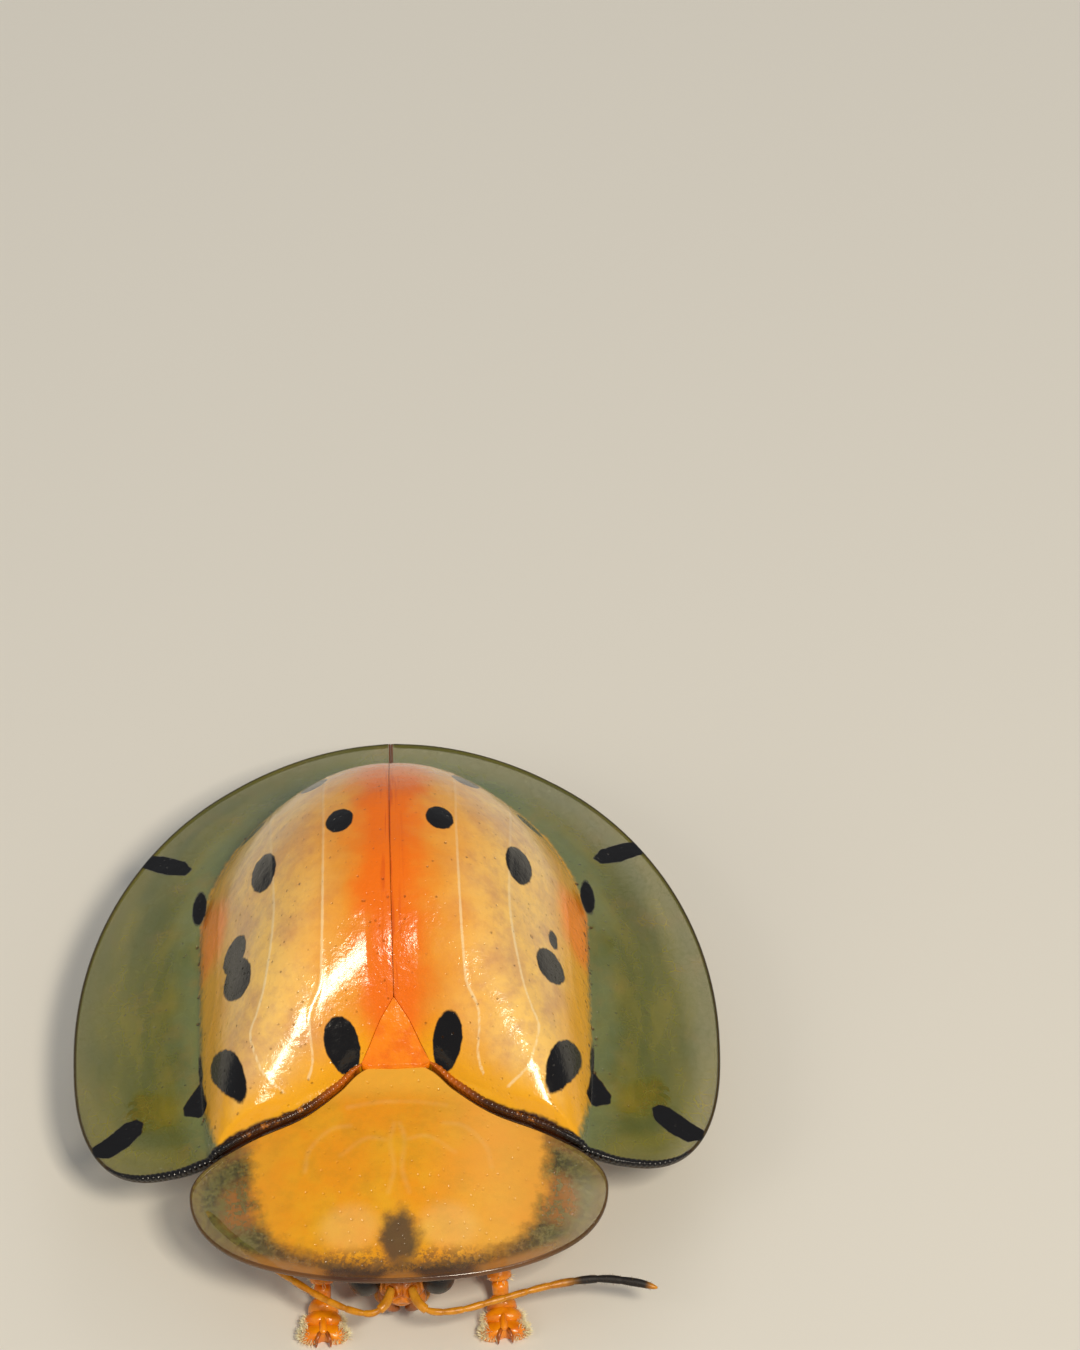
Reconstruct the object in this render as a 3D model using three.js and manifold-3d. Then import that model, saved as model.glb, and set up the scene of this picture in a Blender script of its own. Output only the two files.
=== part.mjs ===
// A spotted tortoise beetle at life size, standing on its six feet.
// Millimetres, +Z up, the head towards -Y. While it is built, y runs back from the middle of the
// wing cases' front edge and z up from the floor; the last lines centre it on its bounding box.
import * as THREE from "three";
import { mergeVertices } from "three/addons/utils/BufferGeometryUtils.js";
import Module from "manifold-3d";

const wasm = await Module();
wasm.setup();

// Fits
const GAP = 0.2; // between two pieces that touch
const SHELL = 0.5; // thickness of the wing cases and of the shield
const RIM = 0.4; // thickness they thin out to along their free edges

// Wing cases, seen from above
const CASE_HALF_WIDTH = 6.35;
const CASE_WIDEST_Y = 1.7;
const CASE_APEX_Y = 9.5;
const LOBE_X = 4.4; // where the front edge reaches furthest forward
const LOBE_Y = -1.86;
const LOBE_POWER = 2.6;
const SEAM_START_X = 0.5; // the front edge runs straight across as far as this

// The raised disc of the wing cases
const DISC_HALF_WIDTH = 3.85;
const DISC_WAIST = 0.25; // how much narrower the disc is at the shoulders
const DISC_REAR = 4.8; // from the top of the dome back to the end of the disc
const DOME_Y = 3.6;
const DOME_HEIGHT = 3.35;
const DOME_POWER = 2.4;
const SHOULDER_POWER = 6.0; // the cross-section is squarer at the shoulders
const FRONT_SHARE = 0.24; // height left at the front edge, as a share of the dome
const FRONT_CURVE = 2.0;

// The flat, see-through margin round the disc
const MARGIN_Z = 2.35; // where it meets the disc
const MARGIN_REAR_DROP = 0.15;
const MARGIN_SLOPE = 0.3;
const MARGIN_LIFT = 0.025; // its edge turns up a little
const MARGIN_TAPER = 1.6; // the width over which it thins out

// Scutellum, the small triangle between the wing cases
const SCUTELLUM_HALF_WIDTH = 0.64;
const SCUTELLUM_TIP_Y = 0.78;

// Shield (pronotum)
const SHIELD_HALF_WIDTH = 4.05;
const SHIELD_WIDEST_Y = -2.35;
const SHIELD_FRONT_Y = -4.58;
const SHIELD_FRONT_Z = 2.2;
const SHIELD_REAR_Z = 3.15;
const SHIELD_CORNER_X = 3.3; // where the rear edge leaves the wing cases
const SHIELD_POWER = 2.1;
const SHIELD_TILT_CURVE = 1.3;
const SHIELD_SIDE_DROP = 0.4;
const SHIELD_BULGE = 0.25;

// Body under the shell
const BELLY_Z = 1.6;
const THORAX_FRONT_Y = -0.05;
const THORAX_REAR_Y = 3.3;
const BODY_REAR_Y = 7.0;
const BODY_HALF_WIDTH = 3.0;
const BODY_EDGE = 0.26; // least thickness of the trunk, at its sides
const BODY_POWER = 2.6;
const CHEST_Z = 1.7; // underside of the prothorax
const CHEST_HALF_WIDTH = 1.7;
const CHEST_FRONT_Y = -2.6;

// Head
const HEAD_Y = -3.58;
const HEAD_HALF_DEPTH = 0.62;
const HEAD_HALF_WIDTH = 0.56;
const HEAD_TOP_Z = 1.58;
const HEAD_BOTTOM_Z = 0.74;
const EYE = new THREE.Vector3(0.72, -3.74, 1.18);
const EYE_RADII = new THREE.Vector3(0.4, 0.42, 0.42);

// Antennae
const ANTENNA_RADIUS = 0.25;
const ANTENNA_SEGMENTS = 11;
const SCAPE_SHARE = 0.15;

// Legs
const LIMB_SIDES = 10;
const ANKLE_Z = 0.62;
const SOLE_LENGTH = 0.96;

const COLOURS = {
  case: { color: 0xd9b071, roughness: 0.25 },
  shield: { color: 0xe8a53a, roughness: 0.3 },
  scutellum: { color: 0xf07d14, roughness: 0.3 },
  body: { color: 0xd98a2b, roughness: 0.45 },
  head: { color: 0xd07a22, roughness: 0.4 },
  eye: { color: 0x14110f, roughness: 0.12 },
  leg: { color: 0xf08c1e, roughness: 0.35 },
  feeler: { color: 0xe08a26, roughness: 0.4 },
  club: { color: 0x241a12, roughness: 0.5 },
  jaw: { color: 0x6b3414, roughness: 0.35 },
};

const beetle = new THREE.Group();

function add(name, geometry, finish) {
  const material = new THREE.MeshStandardMaterial({ metalness: 0, ...COLOURS[finish] });
  const mesh = new THREE.Mesh(geometry, material);
  mesh.name = name;
  beetle.add(mesh);
  return mesh;
}

// Solids from points

function geometryOf(points, faces) {
  const flat = new Float32Array(points.flatMap((p) => [p.x, p.y, p.z]));
  const geometry = new THREE.BufferGeometry();
  geometry.setAttribute("position", new THREE.BufferAttribute(flat, 3));
  geometry.setIndex(faces.flat());
  return geometry;
}

// A plate between two heights over rings of plan points. The rings share one pole. Open rings
// start and end on a straight edge through the pole.
function plate(pole, rings, topOf, bottomOf, closed) {
  const count = rings[0].length;
  const plan = [pole, ...rings.flat()];
  const lift = (heightOf) => plan.map((p) => new THREE.Vector3(p.x, p.y, heightOf(p.x, p.y)));
  const points = [...lift(topOf), ...lift(bottomOf)];
  const below = plan.length;
  const at = (ring, ray) => 1 + ring * count + (ray % count);
  const sheet = [];
  const rays = closed ? count : count - 1;
  for (let ray = 0; ray < rays; ray += 1) {
    sheet.push([0, at(0, ray), at(0, ray + 1)]);
    for (let ring = 1; ring < rings.length; ring += 1) {
      sheet.push([at(ring - 1, ray), at(ring, ray), at(ring, ray + 1)]);
      sheet.push([at(ring - 1, ray), at(ring, ray + 1), at(ring - 1, ray + 1)]);
    }
  }
  const outer = [];
  for (let ray = 0; ray < count; ray += 1) outer.push(at(rings.length - 1, ray));
  const along = (ray) => rings.map((_, ring) => at(ring, ray));
  const border = closed
    ? outer
    : [0, ...along(0).slice(0, -1), ...outer, ...along(count - 1).slice(0, -1).reverse()];
  const faces = [...sheet, ...sheet.map(([a, b, c]) => [a + below, c + below, b + below])];
  border.forEach((a, i) => {
    const b = border[(i + 1) % border.length];
    faces.push([a + below, b + below, b], [a + below, b, a]);
  });
  return geometryOf(points, faces);
}

// A closed skin over rings of points that turn the right-hand way about the direction they
// follow, with a flat cap on each end.
function skin(rings) {
  const count = rings[0].length;
  const points = rings.flat();
  const middle = (ring) => ring.reduce((sum, p) => sum.add(p), new THREE.Vector3()).divideScalar(count);
  const first = points.push(middle(rings[0])) - 1;
  const last = points.push(middle(rings.at(-1))) - 1;
  const faces = [];
  for (let j = 0; j < count; j += 1) {
    const k = (j + 1) % count;
    const end = (rings.length - 1) * count;
    faces.push([first, k, j], [last, end + j, end + k]);
    for (let ring = 1; ring < rings.length; ring += 1) {
      const a = (ring - 1) * count;
      const b = ring * count;
      faces.push([a + j, a + k, b + k], [a + j, b + k, b + j]);
    }
  }
  return geometryOf(points, faces);
}

// Joins and cuts

function solidOf(geometry) {
  const bare = geometry.clone();
  bare.deleteAttribute("normal");
  bare.deleteAttribute("uv");
  const merged = mergeVertices(bare, 1e-4);
  return new wasm.Manifold(
    new wasm.Mesh({
      numProp: 3,
      vertProperties: merged.attributes.position.array,
      triVerts: new Uint32Array(merged.index.array),
    }),
  );
}

// The largest closed body of a solid, as a geometry
function largest(solid) {
  const parts = solid.decompose();
  const biggest = parts.reduce((best, part) => (part.volume() > best.volume() ? part : best));
  const mesh = biggest.getMesh();
  const geometry = new THREE.BufferGeometry();
  geometry.setAttribute("position", new THREE.BufferAttribute(new Float32Array(mesh.vertProperties), 3));
  geometry.setIndex(new THREE.BufferAttribute(new Uint32Array(mesh.triVerts), 1));
  return geometry;
}

function join(geometries) {
  return largest(geometries.map(solidOf).reduce((sum, part) => sum.add(part)));
}

function cut(geometry, ...cutters) {
  return largest(cutters.map(solidOf).reduce((rest, cutter) => rest.subtract(cutter), solidOf(geometry)));
}

// Height of the shell

const quarter = Math.PI / 2;
const clamp01 = (value) => Math.min(1, Math.max(0, value));

// The line where the shield meets the wing cases
function seamY(x) {
  const bend = Math.sin(quarter * clamp01((Math.abs(x) - SEAM_START_X) / (LOBE_X - SEAM_START_X)));
  return LOBE_Y * (0.7 * bend + 0.3 * bend ** 4);
}

function discHalfWidth(y) {
  return DISC_HALF_WIDTH - DISC_WAIST * clamp01((DOME_Y - y) / (DOME_Y - LOBE_Y)) ** 4;
}

// 1 on the edge of the disc, 0 along the top of the dome
function discRadius(x, y) {
  if (y < DOME_Y) return Math.abs(x) / discHalfWidth(y);
  return Math.hypot(x / DISC_HALF_WIDTH, (y - DOME_Y) / DISC_REAR);
}

function caseHeight(x, y) {
  const radius = discRadius(x, y);
  const edgeZ = MARGIN_Z - MARGIN_REAR_DROP * clamp01((y - DOME_Y) / DISC_REAR) ** 2;
  if (radius > 1) {
    const out = (radius - 1) * DISC_HALF_WIDTH;
    return edgeZ - MARGIN_SLOPE * out + MARGIN_LIFT * out ** 2;
  }
  const forward = clamp01((DOME_Y - y) / (DOME_Y - seamY(x)));
  const crest = 1 - (1 - FRONT_SHARE) * forward ** FRONT_CURVE;
  const power = DOME_POWER + (SHOULDER_POWER - DOME_POWER) * forward ** 2;
  return edgeZ + DOME_HEIGHT * crest * (1 - radius ** power);
}

function shieldHeight(x, y) {
  const back = clamp01((y - SHIELD_FRONT_Y) / (THORAX_FRONT_Y - SHIELD_FRONT_Y));
  const tilt = SHIELD_FRONT_Z + (SHIELD_REAR_Z - SHIELD_FRONT_Z) * back ** SHIELD_TILT_CURVE;
  const side = SHIELD_SIDE_DROP * Math.min(1.1, Math.abs(x) / SHIELD_HALF_WIDTH) ** 2.4;
  const middleY = (SHIELD_FRONT_Y + THORAX_FRONT_Y) / 2;
  const radius2 = (x / 3.0) ** 2 + ((y - middleY) / 2.1) ** 2;
  return tilt - side + SHIELD_BULGE * Math.max(0, 1 - radius2) ** 2;
}

// How far straight down a surface must be moved to be moved 1 along its normal
function steepness(height, x, y) {
  const step = 0.01;
  const alongX = (height(x + step, y) - height(x - step, y)) / (2 * step);
  const alongY = (height(x, y + step) - height(x, y - step)) / (2 * step);
  return Math.hypot(1, alongX, alongY);
}

const below = (height, depth) => (x, y) => height(x, y) - depth * steepness(height, x, y);

function caseUnderside(x, y) {
  const out = Math.max(0, discRadius(x, y) - 1) * DISC_HALF_WIDTH;
  const depth = THREE.MathUtils.lerp(SHELL, RIM, clamp01(out / MARGIN_TAPER));
  return below(caseHeight, depth)(x, y);
}

function shieldUnderside(x, y) {
  const forward = Math.max(0, SHIELD_WIDEST_Y - y) / (SHIELD_WIDEST_Y - SHIELD_FRONT_Y);
  const out = clamp01((Math.hypot(x / SHIELD_HALF_WIDTH, forward) - 0.6) / 0.4);
  return below(shieldHeight, THREE.MathUtils.lerp(SHELL, RIM, out))(x, y);
}

// Wing cases

const point2 = (x, y) => new THREE.Vector2(x, y);
const steps = (count) => Array.from({ length: count }, (_, i) => i / (count - 1));

// The edge of the left wing case from the front of the suture round to its rear end
function caseEdge() {
  const firstX = SCUTELLUM_HALF_WIDTH + 1.4 * GAP;
  const beside = [point2(GAP / 2, SCUTELLUM_TIP_Y + 1.5 * GAP), point2(firstX, THORAX_FRONT_Y + GAP)];
  const front = steps(9).map((t) => {
    const x = THREE.MathUtils.lerp(firstX, LOBE_X, t);
    return point2(x, seamY(x) + GAP / 2);
  });
  const lobe = steps(9).slice(1).map((t) => {
    const turn = quarter * t;
    const x = Math.sin(turn) ** (2 / LOBE_POWER);
    const y = Math.cos(turn) ** (2 / LOBE_POWER);
    const reachY = CASE_WIDEST_Y - LOBE_Y - GAP / 2;
    return point2(LOBE_X + (CASE_HALF_WIDTH - LOBE_X) * x, CASE_WIDEST_Y - reachY * y);
  });
  const rear = steps(17).slice(1).map((t) => {
    const x = GAP / 2 + (CASE_HALF_WIDTH - GAP / 2) * Math.cos(quarter * t);
    return point2(x, CASE_WIDEST_Y + (CASE_APEX_Y - CASE_WIDEST_Y) * Math.sin(quarter * t));
  });
  return [...beside, ...front, ...lobe, ...rear];
}

// The share of the way from the pole to an edge point at which the disc ends
function discShare(pole, edge) {
  const widest = 0.94;
  if (discRadius(edge.x, edge.y) < 1) return widest;
  let [inside, outside] = [0, 1];
  for (let i = 0; i < 24; i += 1) {
    const share = (inside + outside) / 2;
    const p = pole.clone().lerp(edge, share);
    if (discRadius(p.x, p.y) < 1) inside = share;
    else outside = share;
  }
  return Math.min(widest, inside);
}

function wingCase(side) {
  const pole = point2(GAP / 2, DOME_Y);
  const edge = caseEdge();
  const shares = edge.map((p) => discShare(pole, p));
  const discRings = [0.16, 0.34, 0.5, 0.66, 0.8, 0.91, 1];
  const marginRings = [0.34, 0.68, 1];
  const ringAt = (shareOf) => edge.map((p, i) => pole.clone().lerp(p, shareOf(shares[i])));
  const rings = [
    ...discRings.map((t) => ringAt((disc) => t * disc)),
    ...marginRings.map((t) => ringAt((disc) => disc + t * (1 - disc))),
  ];
  const geometry = plate(pole, rings, caseHeight, caseUnderside, false);
  return side > 0 ? geometry : mirrored(geometry);
}

// The same shape on the other side, with its faces still pointing out
function mirrored(geometry) {
  const other = geometry.clone().scale(-1, 1, 1);
  const index = other.index.array;
  for (let i = 0; i < index.length; i += 3) [index[i], index[i + 1]] = [index[i + 1], index[i]];
  return other;
}

function scutellum() {
  const reach = point2(0, THORAX_FRONT_Y + GAP);
  const corner = point2(SCUTELLUM_HALF_WIDTH, reach.y);
  const flank = point2(SCUTELLUM_HALF_WIDTH * 0.62, THREE.MathUtils.lerp(reach.y, SCUTELLUM_TIP_Y, 0.45));
  const tip = point2(0, SCUTELLUM_TIP_Y);
  const ring = [reach, corner, flank, tip, point2(-flank.x, flank.y), point2(-corner.x, corner.y)];
  const pole = point2(0, THREE.MathUtils.lerp(reach.y, SCUTELLUM_TIP_Y, 0.35));
  const top = (x, y) => caseHeight(x, y) + 0.04;
  return plate(pole, [ring], top, (x, y) => caseHeight(x, y) - SHELL * 0.8, true);
}

// Shield

function shieldEdge() {
  const rearY = (x) => seamY(x) - GAP / 2;
  const rear = steps(8).slice(1).map((t) => point2(SHIELD_CORNER_X * t, rearY(SHIELD_CORNER_X * t)));
  const start = rear.at(-1);
  const slope = (rearY(start.x) - rearY(start.x - 0.01)) / 0.01;
  const control = point2(SHIELD_HALF_WIDTH, start.y + slope * (SHIELD_HALF_WIDTH - start.x));
  const end = point2(SHIELD_HALF_WIDTH, SHIELD_WIDEST_Y);
  const corner = new THREE.QuadraticBezierCurve(start, control, end).getPoints(4).slice(1);
  const front = steps(10).slice(1, -1).map((t) => {
    const x = Math.cos(quarter * t) ** (2 / SHIELD_POWER);
    const y = Math.sin(quarter * t) ** (2 / SHIELD_POWER);
    return point2(SHIELD_HALF_WIDTH * x, SHIELD_WIDEST_Y + (SHIELD_FRONT_Y - SHIELD_WIDEST_Y) * y);
  });
  const half = [...rear, ...corner, ...front];
  const other = half.map((p) => point2(-p.x, p.y));
  // from the front round the left side, over the rear and back down the right side
  return [
    point2(0, SHIELD_FRONT_Y),
    ...[...half].reverse(),
    point2(0, rearY(0)),
    ...other,
  ];
}

function shield() {
  const pole = point2(0, SHIELD_WIDEST_Y);
  const edge = shieldEdge();
  const rings = [0.3, 0.58, 0.8, 1].map((t) => edge.map((p) => pole.clone().lerp(p, t)));
  return plate(pole, rings, shieldHeight, shieldUnderside, true);
}

// Body, in sections across it

function section(y, halfWidth, topOf, bottomOf, count) {
  const xs = steps(count).map((t) => halfWidth * Math.sin(quarter * (2 * t - 1)));
  const top = xs.map((x) => new THREE.Vector3(x, y, topOf(x, y)));
  const bottom = [...xs].reverse().map((x) => new THREE.Vector3(x, y, bottomOf(x, y)));
  return [...top, ...bottom];
}

function bodyHalfWidth(y) {
  const middle = (THORAX_FRONT_Y + BODY_REAR_Y) / 2;
  const reach = (BODY_REAR_Y - THORAX_FRONT_Y) / 2;
  const share = 1 - (Math.abs(y - middle) / reach) ** BODY_POWER;
  return Math.max(0.9, BODY_HALF_WIDTH * Math.max(0, share) ** (1 / BODY_POWER));
}

function bellyHeight(x, y) {
  const rise = 0.4 * (Math.abs(x) / BODY_HALF_WIDTH) ** 3;
  const tail = 0.35 * clamp01((y - DOME_Y) / (BODY_REAR_Y - DOME_Y)) ** 2;
  return BELLY_Z + rise + tail;
}

// The top of a trunk piece: a set depth under the shell, and never thinner than its edge
function trunkTop(height, depth, bottomOf) {
  const top = below(height, depth);
  return (x, y) => Math.max(top(x, y), bottomOf(x, y) + BODY_EDGE);
}

const bodyTop = trunkTop(caseHeight, SHELL + 2 * GAP, bellyHeight);

function thorax() {
  const ys = steps(8).map((t) => THREE.MathUtils.lerp(THORAX_FRONT_Y, THORAX_REAR_Y, t));
  return skin(ys.map((y) => section(y, bodyHalfWidth(y), bodyTop, bellyHeight, 9)));
}

// Five plates on the abdomen, each stepping in where the next one starts
function abdomen() {
  const plates = 5;
  const startY = THORAX_REAR_Y + GAP;
  const step = (BODY_REAR_Y - startY) / plates;
  const groove = 0.09;
  const sections = [];
  for (let i = 0; i < plates; i += 1) {
    const y = startY + i * step;
    const low = (x, at) => bellyHeight(x, at);
    const high = (x, at) => bellyHeight(x, at) + groove;
    sections.push(section(y, bodyHalfWidth(y), bodyTop, i ? high : low, 9));
    sections.push(section(y + 0.25 * step, bodyHalfWidth(y + 0.25 * step), bodyTop, low, 9));
    sections.push(section(y + 0.9 * step, bodyHalfWidth(y + 0.9 * step), bodyTop, low, 9));
  }
  sections.push(section(BODY_REAR_Y, bodyHalfWidth(BODY_REAR_Y), bodyTop, bellyHeight, 9));
  return skin(sections);
}

function prothorax() {
  const rearY = THORAX_FRONT_Y - GAP;
  const bottom = (x) => CHEST_Z + 0.05 * (Math.abs(x) / CHEST_HALF_WIDTH) ** 3;
  const sections = steps(6).map((t) => {
    const y = THREE.MathUtils.lerp(CHEST_FRONT_Y, rearY, t);
    const halfWidth = CHEST_HALF_WIDTH * (0.45 + 0.55 * Math.sin(Math.PI * (0.2 + 0.76 * t)));
    return section(y, halfWidth, trunkTop(shieldHeight, SHELL + 1.3 * GAP, bottom), bottom, 7);
  });
  return skin(sections);
}

// Head, eyes and mouth

function head(grow) {
  // height as a share, half width and half depth as shares, and how far the middle leans forward
  const levels = [
    [0, 0.62, 0.5, 0.16],
    [0.22, 0.86, 0.82, 0.08],
    [0.5, 1, 1, 0.02],
    [0.75, 0.98, 0.98, 0],
    [0.92, 0.8, 0.8, -0.02],
    [1, 0.5, 0.5, -0.04],
  ];
  const rings = levels.map(([t, wide, deep, lean], i) => {
    const end = i === 0 ? -grow : i === levels.length - 1 ? grow : 0;
    const z = THREE.MathUtils.lerp(HEAD_BOTTOM_Z, HEAD_TOP_Z, t) + end;
    return steps(17).slice(1).map((s) => {
      const x = (HEAD_HALF_WIDTH * wide + grow) * Math.cos(4 * quarter * s);
      const y = HEAD_Y - lean + (HEAD_HALF_DEPTH * deep + grow) * Math.sin(4 * quarter * s);
      return new THREE.Vector3(x, y, z);
    });
  });
  return skin(rings);
}

function eye(side) {
  const ball = new THREE.SphereGeometry(1, 16, 12);
  ball.scale(EYE_RADII.x, EYE_RADII.y, EYE_RADII.z);
  ball.translate(side * EYE.x, EYE.y, EYE.z);
  return cut(ball, head(GAP));
}

// Limbs: oval sections along a line, with both end faces on given planes

function limb(from, to, fromNormal, toNormal, profile) {
  const axis = to.clone().sub(from).normalize();
  const up = Math.abs(axis.z) > 0.9 ? new THREE.Vector3(0, 1, 0) : new THREE.Vector3(0, 0, 1);
  const across = new THREE.Vector3().crossVectors(axis, up).normalize();
  const upright = new THREE.Vector3().crossVectors(across, axis);
  const spoke = ([, wide, deep], turn) => {
    const offset = across.clone().multiplyScalar(wide * Math.cos(turn));
    return offset.addScaledVector(upright, deep * Math.sin(turn));
  };
  // how far along the axis a line beside it meets the plane through a point
  const reach = (point, normal, offset) => {
    const start = from.clone().add(offset);
    return point.clone().sub(start).dot(normal) / axis.dot(normal);
  };
  const rings = profile.map((row) => {
    return steps(LIMB_SIDES + 1).slice(1).map((s) => {
      const turn = -4 * quarter * s;
      const first = reach(from, fromNormal, spoke(profile[0], turn));
      const last = reach(to, toNormal, spoke(profile.at(-1), turn));
      const along = THREE.MathUtils.lerp(first, last, row[0]);
      return from.clone().add(spoke(row, turn)).addScaledVector(axis, along);
    });
  });
  return skin(rings);
}

const between = (a, b) => b.clone().sub(a).normalize();

const FEMUR = [[0, 0.27, 0.27], [0.18, 0.34, 0.33], [0.45, 0.4, 0.38], [0.8, 0.31, 0.3], [1, 0.27, 0.27]];
const TIBIA = [[0, 0.25, 0.25], [0.35, 0.26, 0.25], [0.8, 0.29, 0.27], [1, 0.29, 0.27]];
const COXA = [[0, 0.26, 0.24], [0.3, 0.36, 0.33], [0.7, 0.36, 0.33], [1, 0.28, 0.27]];

// One pad of the foot, from its root to its two lobes, lying on the floor
function pad(start, length, rootHalf, tipHalf, notch, height) {
  const outline = new THREE.Shape();
  const bevel = 0.06;
  outline.moveTo(start, -rootHalf);
  outline.quadraticCurveTo(start + 0.55 * length, -tipHalf, start + 0.8 * length, -tipHalf);
  outline.quadraticCurveTo(start + length, -tipHalf, start + length, -0.5 * tipHalf);
  outline.lineTo(start + length - notch, 0);
  outline.lineTo(start + length, 0.5 * tipHalf);
  outline.quadraticCurveTo(start + length, tipHalf, start + 0.8 * length, tipHalf);
  outline.quadraticCurveTo(start + 0.55 * length, tipHalf, start, rootHalf);
  const shape = new THREE.ExtrudeGeometry(outline, {
    depth: height - 2 * bevel,
    curveSegments: 2,
    bevelThickness: bevel,
    bevelSize: bevel,
    bevelOffset: -bevel,
    bevelSegments: 1,
  });
  return shape.translate(0, 0, bevel);
}

function claw(side) {
  const root = new THREE.Vector3(SOLE_LENGTH * 0.9, side * 0.1, 0.27);
  const knuckle = new THREE.Vector3(SOLE_LENGTH * 1.16, side * 0.2, 0.27);
  const tip = new THREE.Vector3(SOLE_LENGTH * 1.32, side * 0.24, 0.06);
  const line = new THREE.CatmullRomCurve3([root, knuckle, tip]);
  return wand(line, [[0, 0.13], [0.35, 0.13], [0.7, 0.09], [1, 0.04]], 6);
}

// Round sections along a curve
function wand(line, profile, sides) {
  const rings = profile.map(([share, radius]) => {
    const axis = line.getTangentAt(share);
    const middle = line.getPointAt(share);
    const across = new THREE.Vector3(0, 0, 1).cross(axis).normalize();
    const upright = new THREE.Vector3().crossVectors(axis, across);
    return steps(sides + 1).slice(1).map((s) => {
      const turn = 4 * quarter * s;
      const p = middle.clone().addScaledVector(across, radius * Math.cos(turn));
      return p.addScaledVector(upright, radius * Math.sin(turn));
    });
  });
  return skin(rings);
}

// The foot: three pads, two claws and the neck that meets the shin
function foot(ankle, toe, shinNormal) {
  const heading = new THREE.Vector3(toe.x - ankle.x, toe.y - ankle.y, 0).normalize();
  const length = SOLE_LENGTH;
  const pads = [
    pad(0.12, 0.42 * length, 0.2, 0.28, 0.04, 0.5),
    pad(0.4 * length, 0.36 * length, 0.2, 0.36, 0.08, 0.46),
    pad(0.62 * length, 0.5 * length, 0.24, 0.46, 0.2, 0.4),
    claw(1),
    claw(-1),
  ];
  const turn = Math.atan2(heading.y, heading.x);
  for (const piece of pads) piece.rotateZ(turn).translate(ankle.x, ankle.y, 0);
  const start = ankle.clone().addScaledVector(shinNormal, GAP / 2);
  const base = ankle.clone().addScaledVector(heading, 0.45).setZ(0.27);
  const neck = limb(start, base, shinNormal, between(start, base), [[0, 0.26, 0.26], [1, 0.2, 0.2]]);
  return join([...pads, neck]);
}

// Coxa, hip, knee and ankle of a leg, and the point its foot heads for
function leg(name, side, joints) {
  const points = joints.map(([x, y, z]) => new THREE.Vector3(side * x, y, z));
  const fold = (i) => between(points[i - 1], points[i]).add(between(points[i], points[i + 1])).normalize();
  const normals = [between(points[0], points[1]), fold(1), fold(2), fold(3)];
  const ends = (i) => [
    points[i].clone().addScaledVector(normals[i], i ? GAP / 2 : 0),
    points[i + 1].clone().addScaledVector(normals[i + 1], -GAP / 2),
    normals[i],
    normals[i + 1],
  ];
  add(`${name}_coxa`, limb(...ends(0), COXA), "leg");
  add(`${name}_femur`, limb(...ends(1), FEMUR), "leg");
  add(`${name}_tibia`, limb(...ends(2), TIBIA), "leg");
  add(`${name}_tarsus`, foot(points[3], points[4], normals[3]), "leg");
}

// Antennae: eleven segments along a curve, in three lengths

function antenna(name, side, line) {
  const curve = new THREE.CatmullRomCurve3(line.map(([x, y, z]) => new THREE.Vector3(side * x, y, z)));
  const length = curve.getLength();
  const rest = (1 - SCAPE_SHARE) / (ANTENNA_SEGMENTS - 1);
  const starts = Array.from({ length: ANTENNA_SEGMENTS }, (_, i) => (i ? SCAPE_SHARE + rest * (i - 1) : 0));
  const lengths = { scape: [0, 2], flagellum: [2, 7], club: [7, ANTENNA_SEGMENTS] };
  for (const [part, [first, end]] of Object.entries(lengths)) {
    const profile = [];
    for (let i = first; i < end; i += 1) {
      const from = starts[i] + (i === first && i ? GAP / 2 / length : 0);
      const until = i + 1 < ANTENNA_SEGMENTS ? starts[i + 1] : 1;
      const stop = until - (i === end - 1 && i < ANTENNA_SEGMENTS - 1 ? GAP / 2 / length : 0);
      const isTip = i === ANTENNA_SEGMENTS - 1;
      profile.push([from, 0.8 * ANTENNA_RADIUS], [THREE.MathUtils.lerp(from, stop, 0.6), ANTENNA_RADIUS]);
      profile.push([stop - (i < end - 1 ? 0.004 : 0), (isTip ? 0.4 : 0.9) * ANTENNA_RADIUS]);
    }
    add(`${name}_${part}`, wand(curve, profile, 8), part === "club" ? "club" : "feeler");
  }
}

function mouth() {
  const underHead = HEAD_BOTTOM_Z - GAP;
  const front = HEAD_Y - 0.16;
  for (const [name, side] of [["left", 1], ["right", -1]]) {
    const jaw = new THREE.CatmullRomCurve3([
      new THREE.Vector3(side * 0.34, front - 0.16, underHead),
      new THREE.Vector3(side * 0.36, front - 0.2, underHead - 0.2),
      new THREE.Vector3(side * 0.22, front - 0.24, underHead - 0.42),
    ]);
    add(`mandible_${name}`, wand(jaw, [[0, 0.22], [0.45, 0.2], [0.8, 0.12], [1, 0.06]], 8), "jaw");
    const palp = new THREE.CatmullRomCurve3([
      new THREE.Vector3(side * 0.4, front + 0.46, underHead),
      new THREE.Vector3(side * 0.5, front + 0.5, underHead - 0.2),
      new THREE.Vector3(side * 0.42, front + 0.44, underHead - 0.46),
    ]);
    add(`palp_${name}`, wand(palp, [[0, 0.2], [0.4, 0.22], [0.75, 0.18], [1, 0.1]], 8), "feeler");
  }
}

// The whole animal

add("wing_case_left", wingCase(1), "case");
add("wing_case_right", wingCase(-1), "case");
add("scutellum", scutellum(), "scutellum");
add("shield", shield(), "shield");
add("thorax", thorax(), "body");
add("abdomen", abdomen(), "body");
add("prothorax", prothorax(), "body");
add("head", head(0), "head");
add("eye_left", eye(1), "eye");
add("eye_right", eye(-1), "eye");
mouth();

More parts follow.
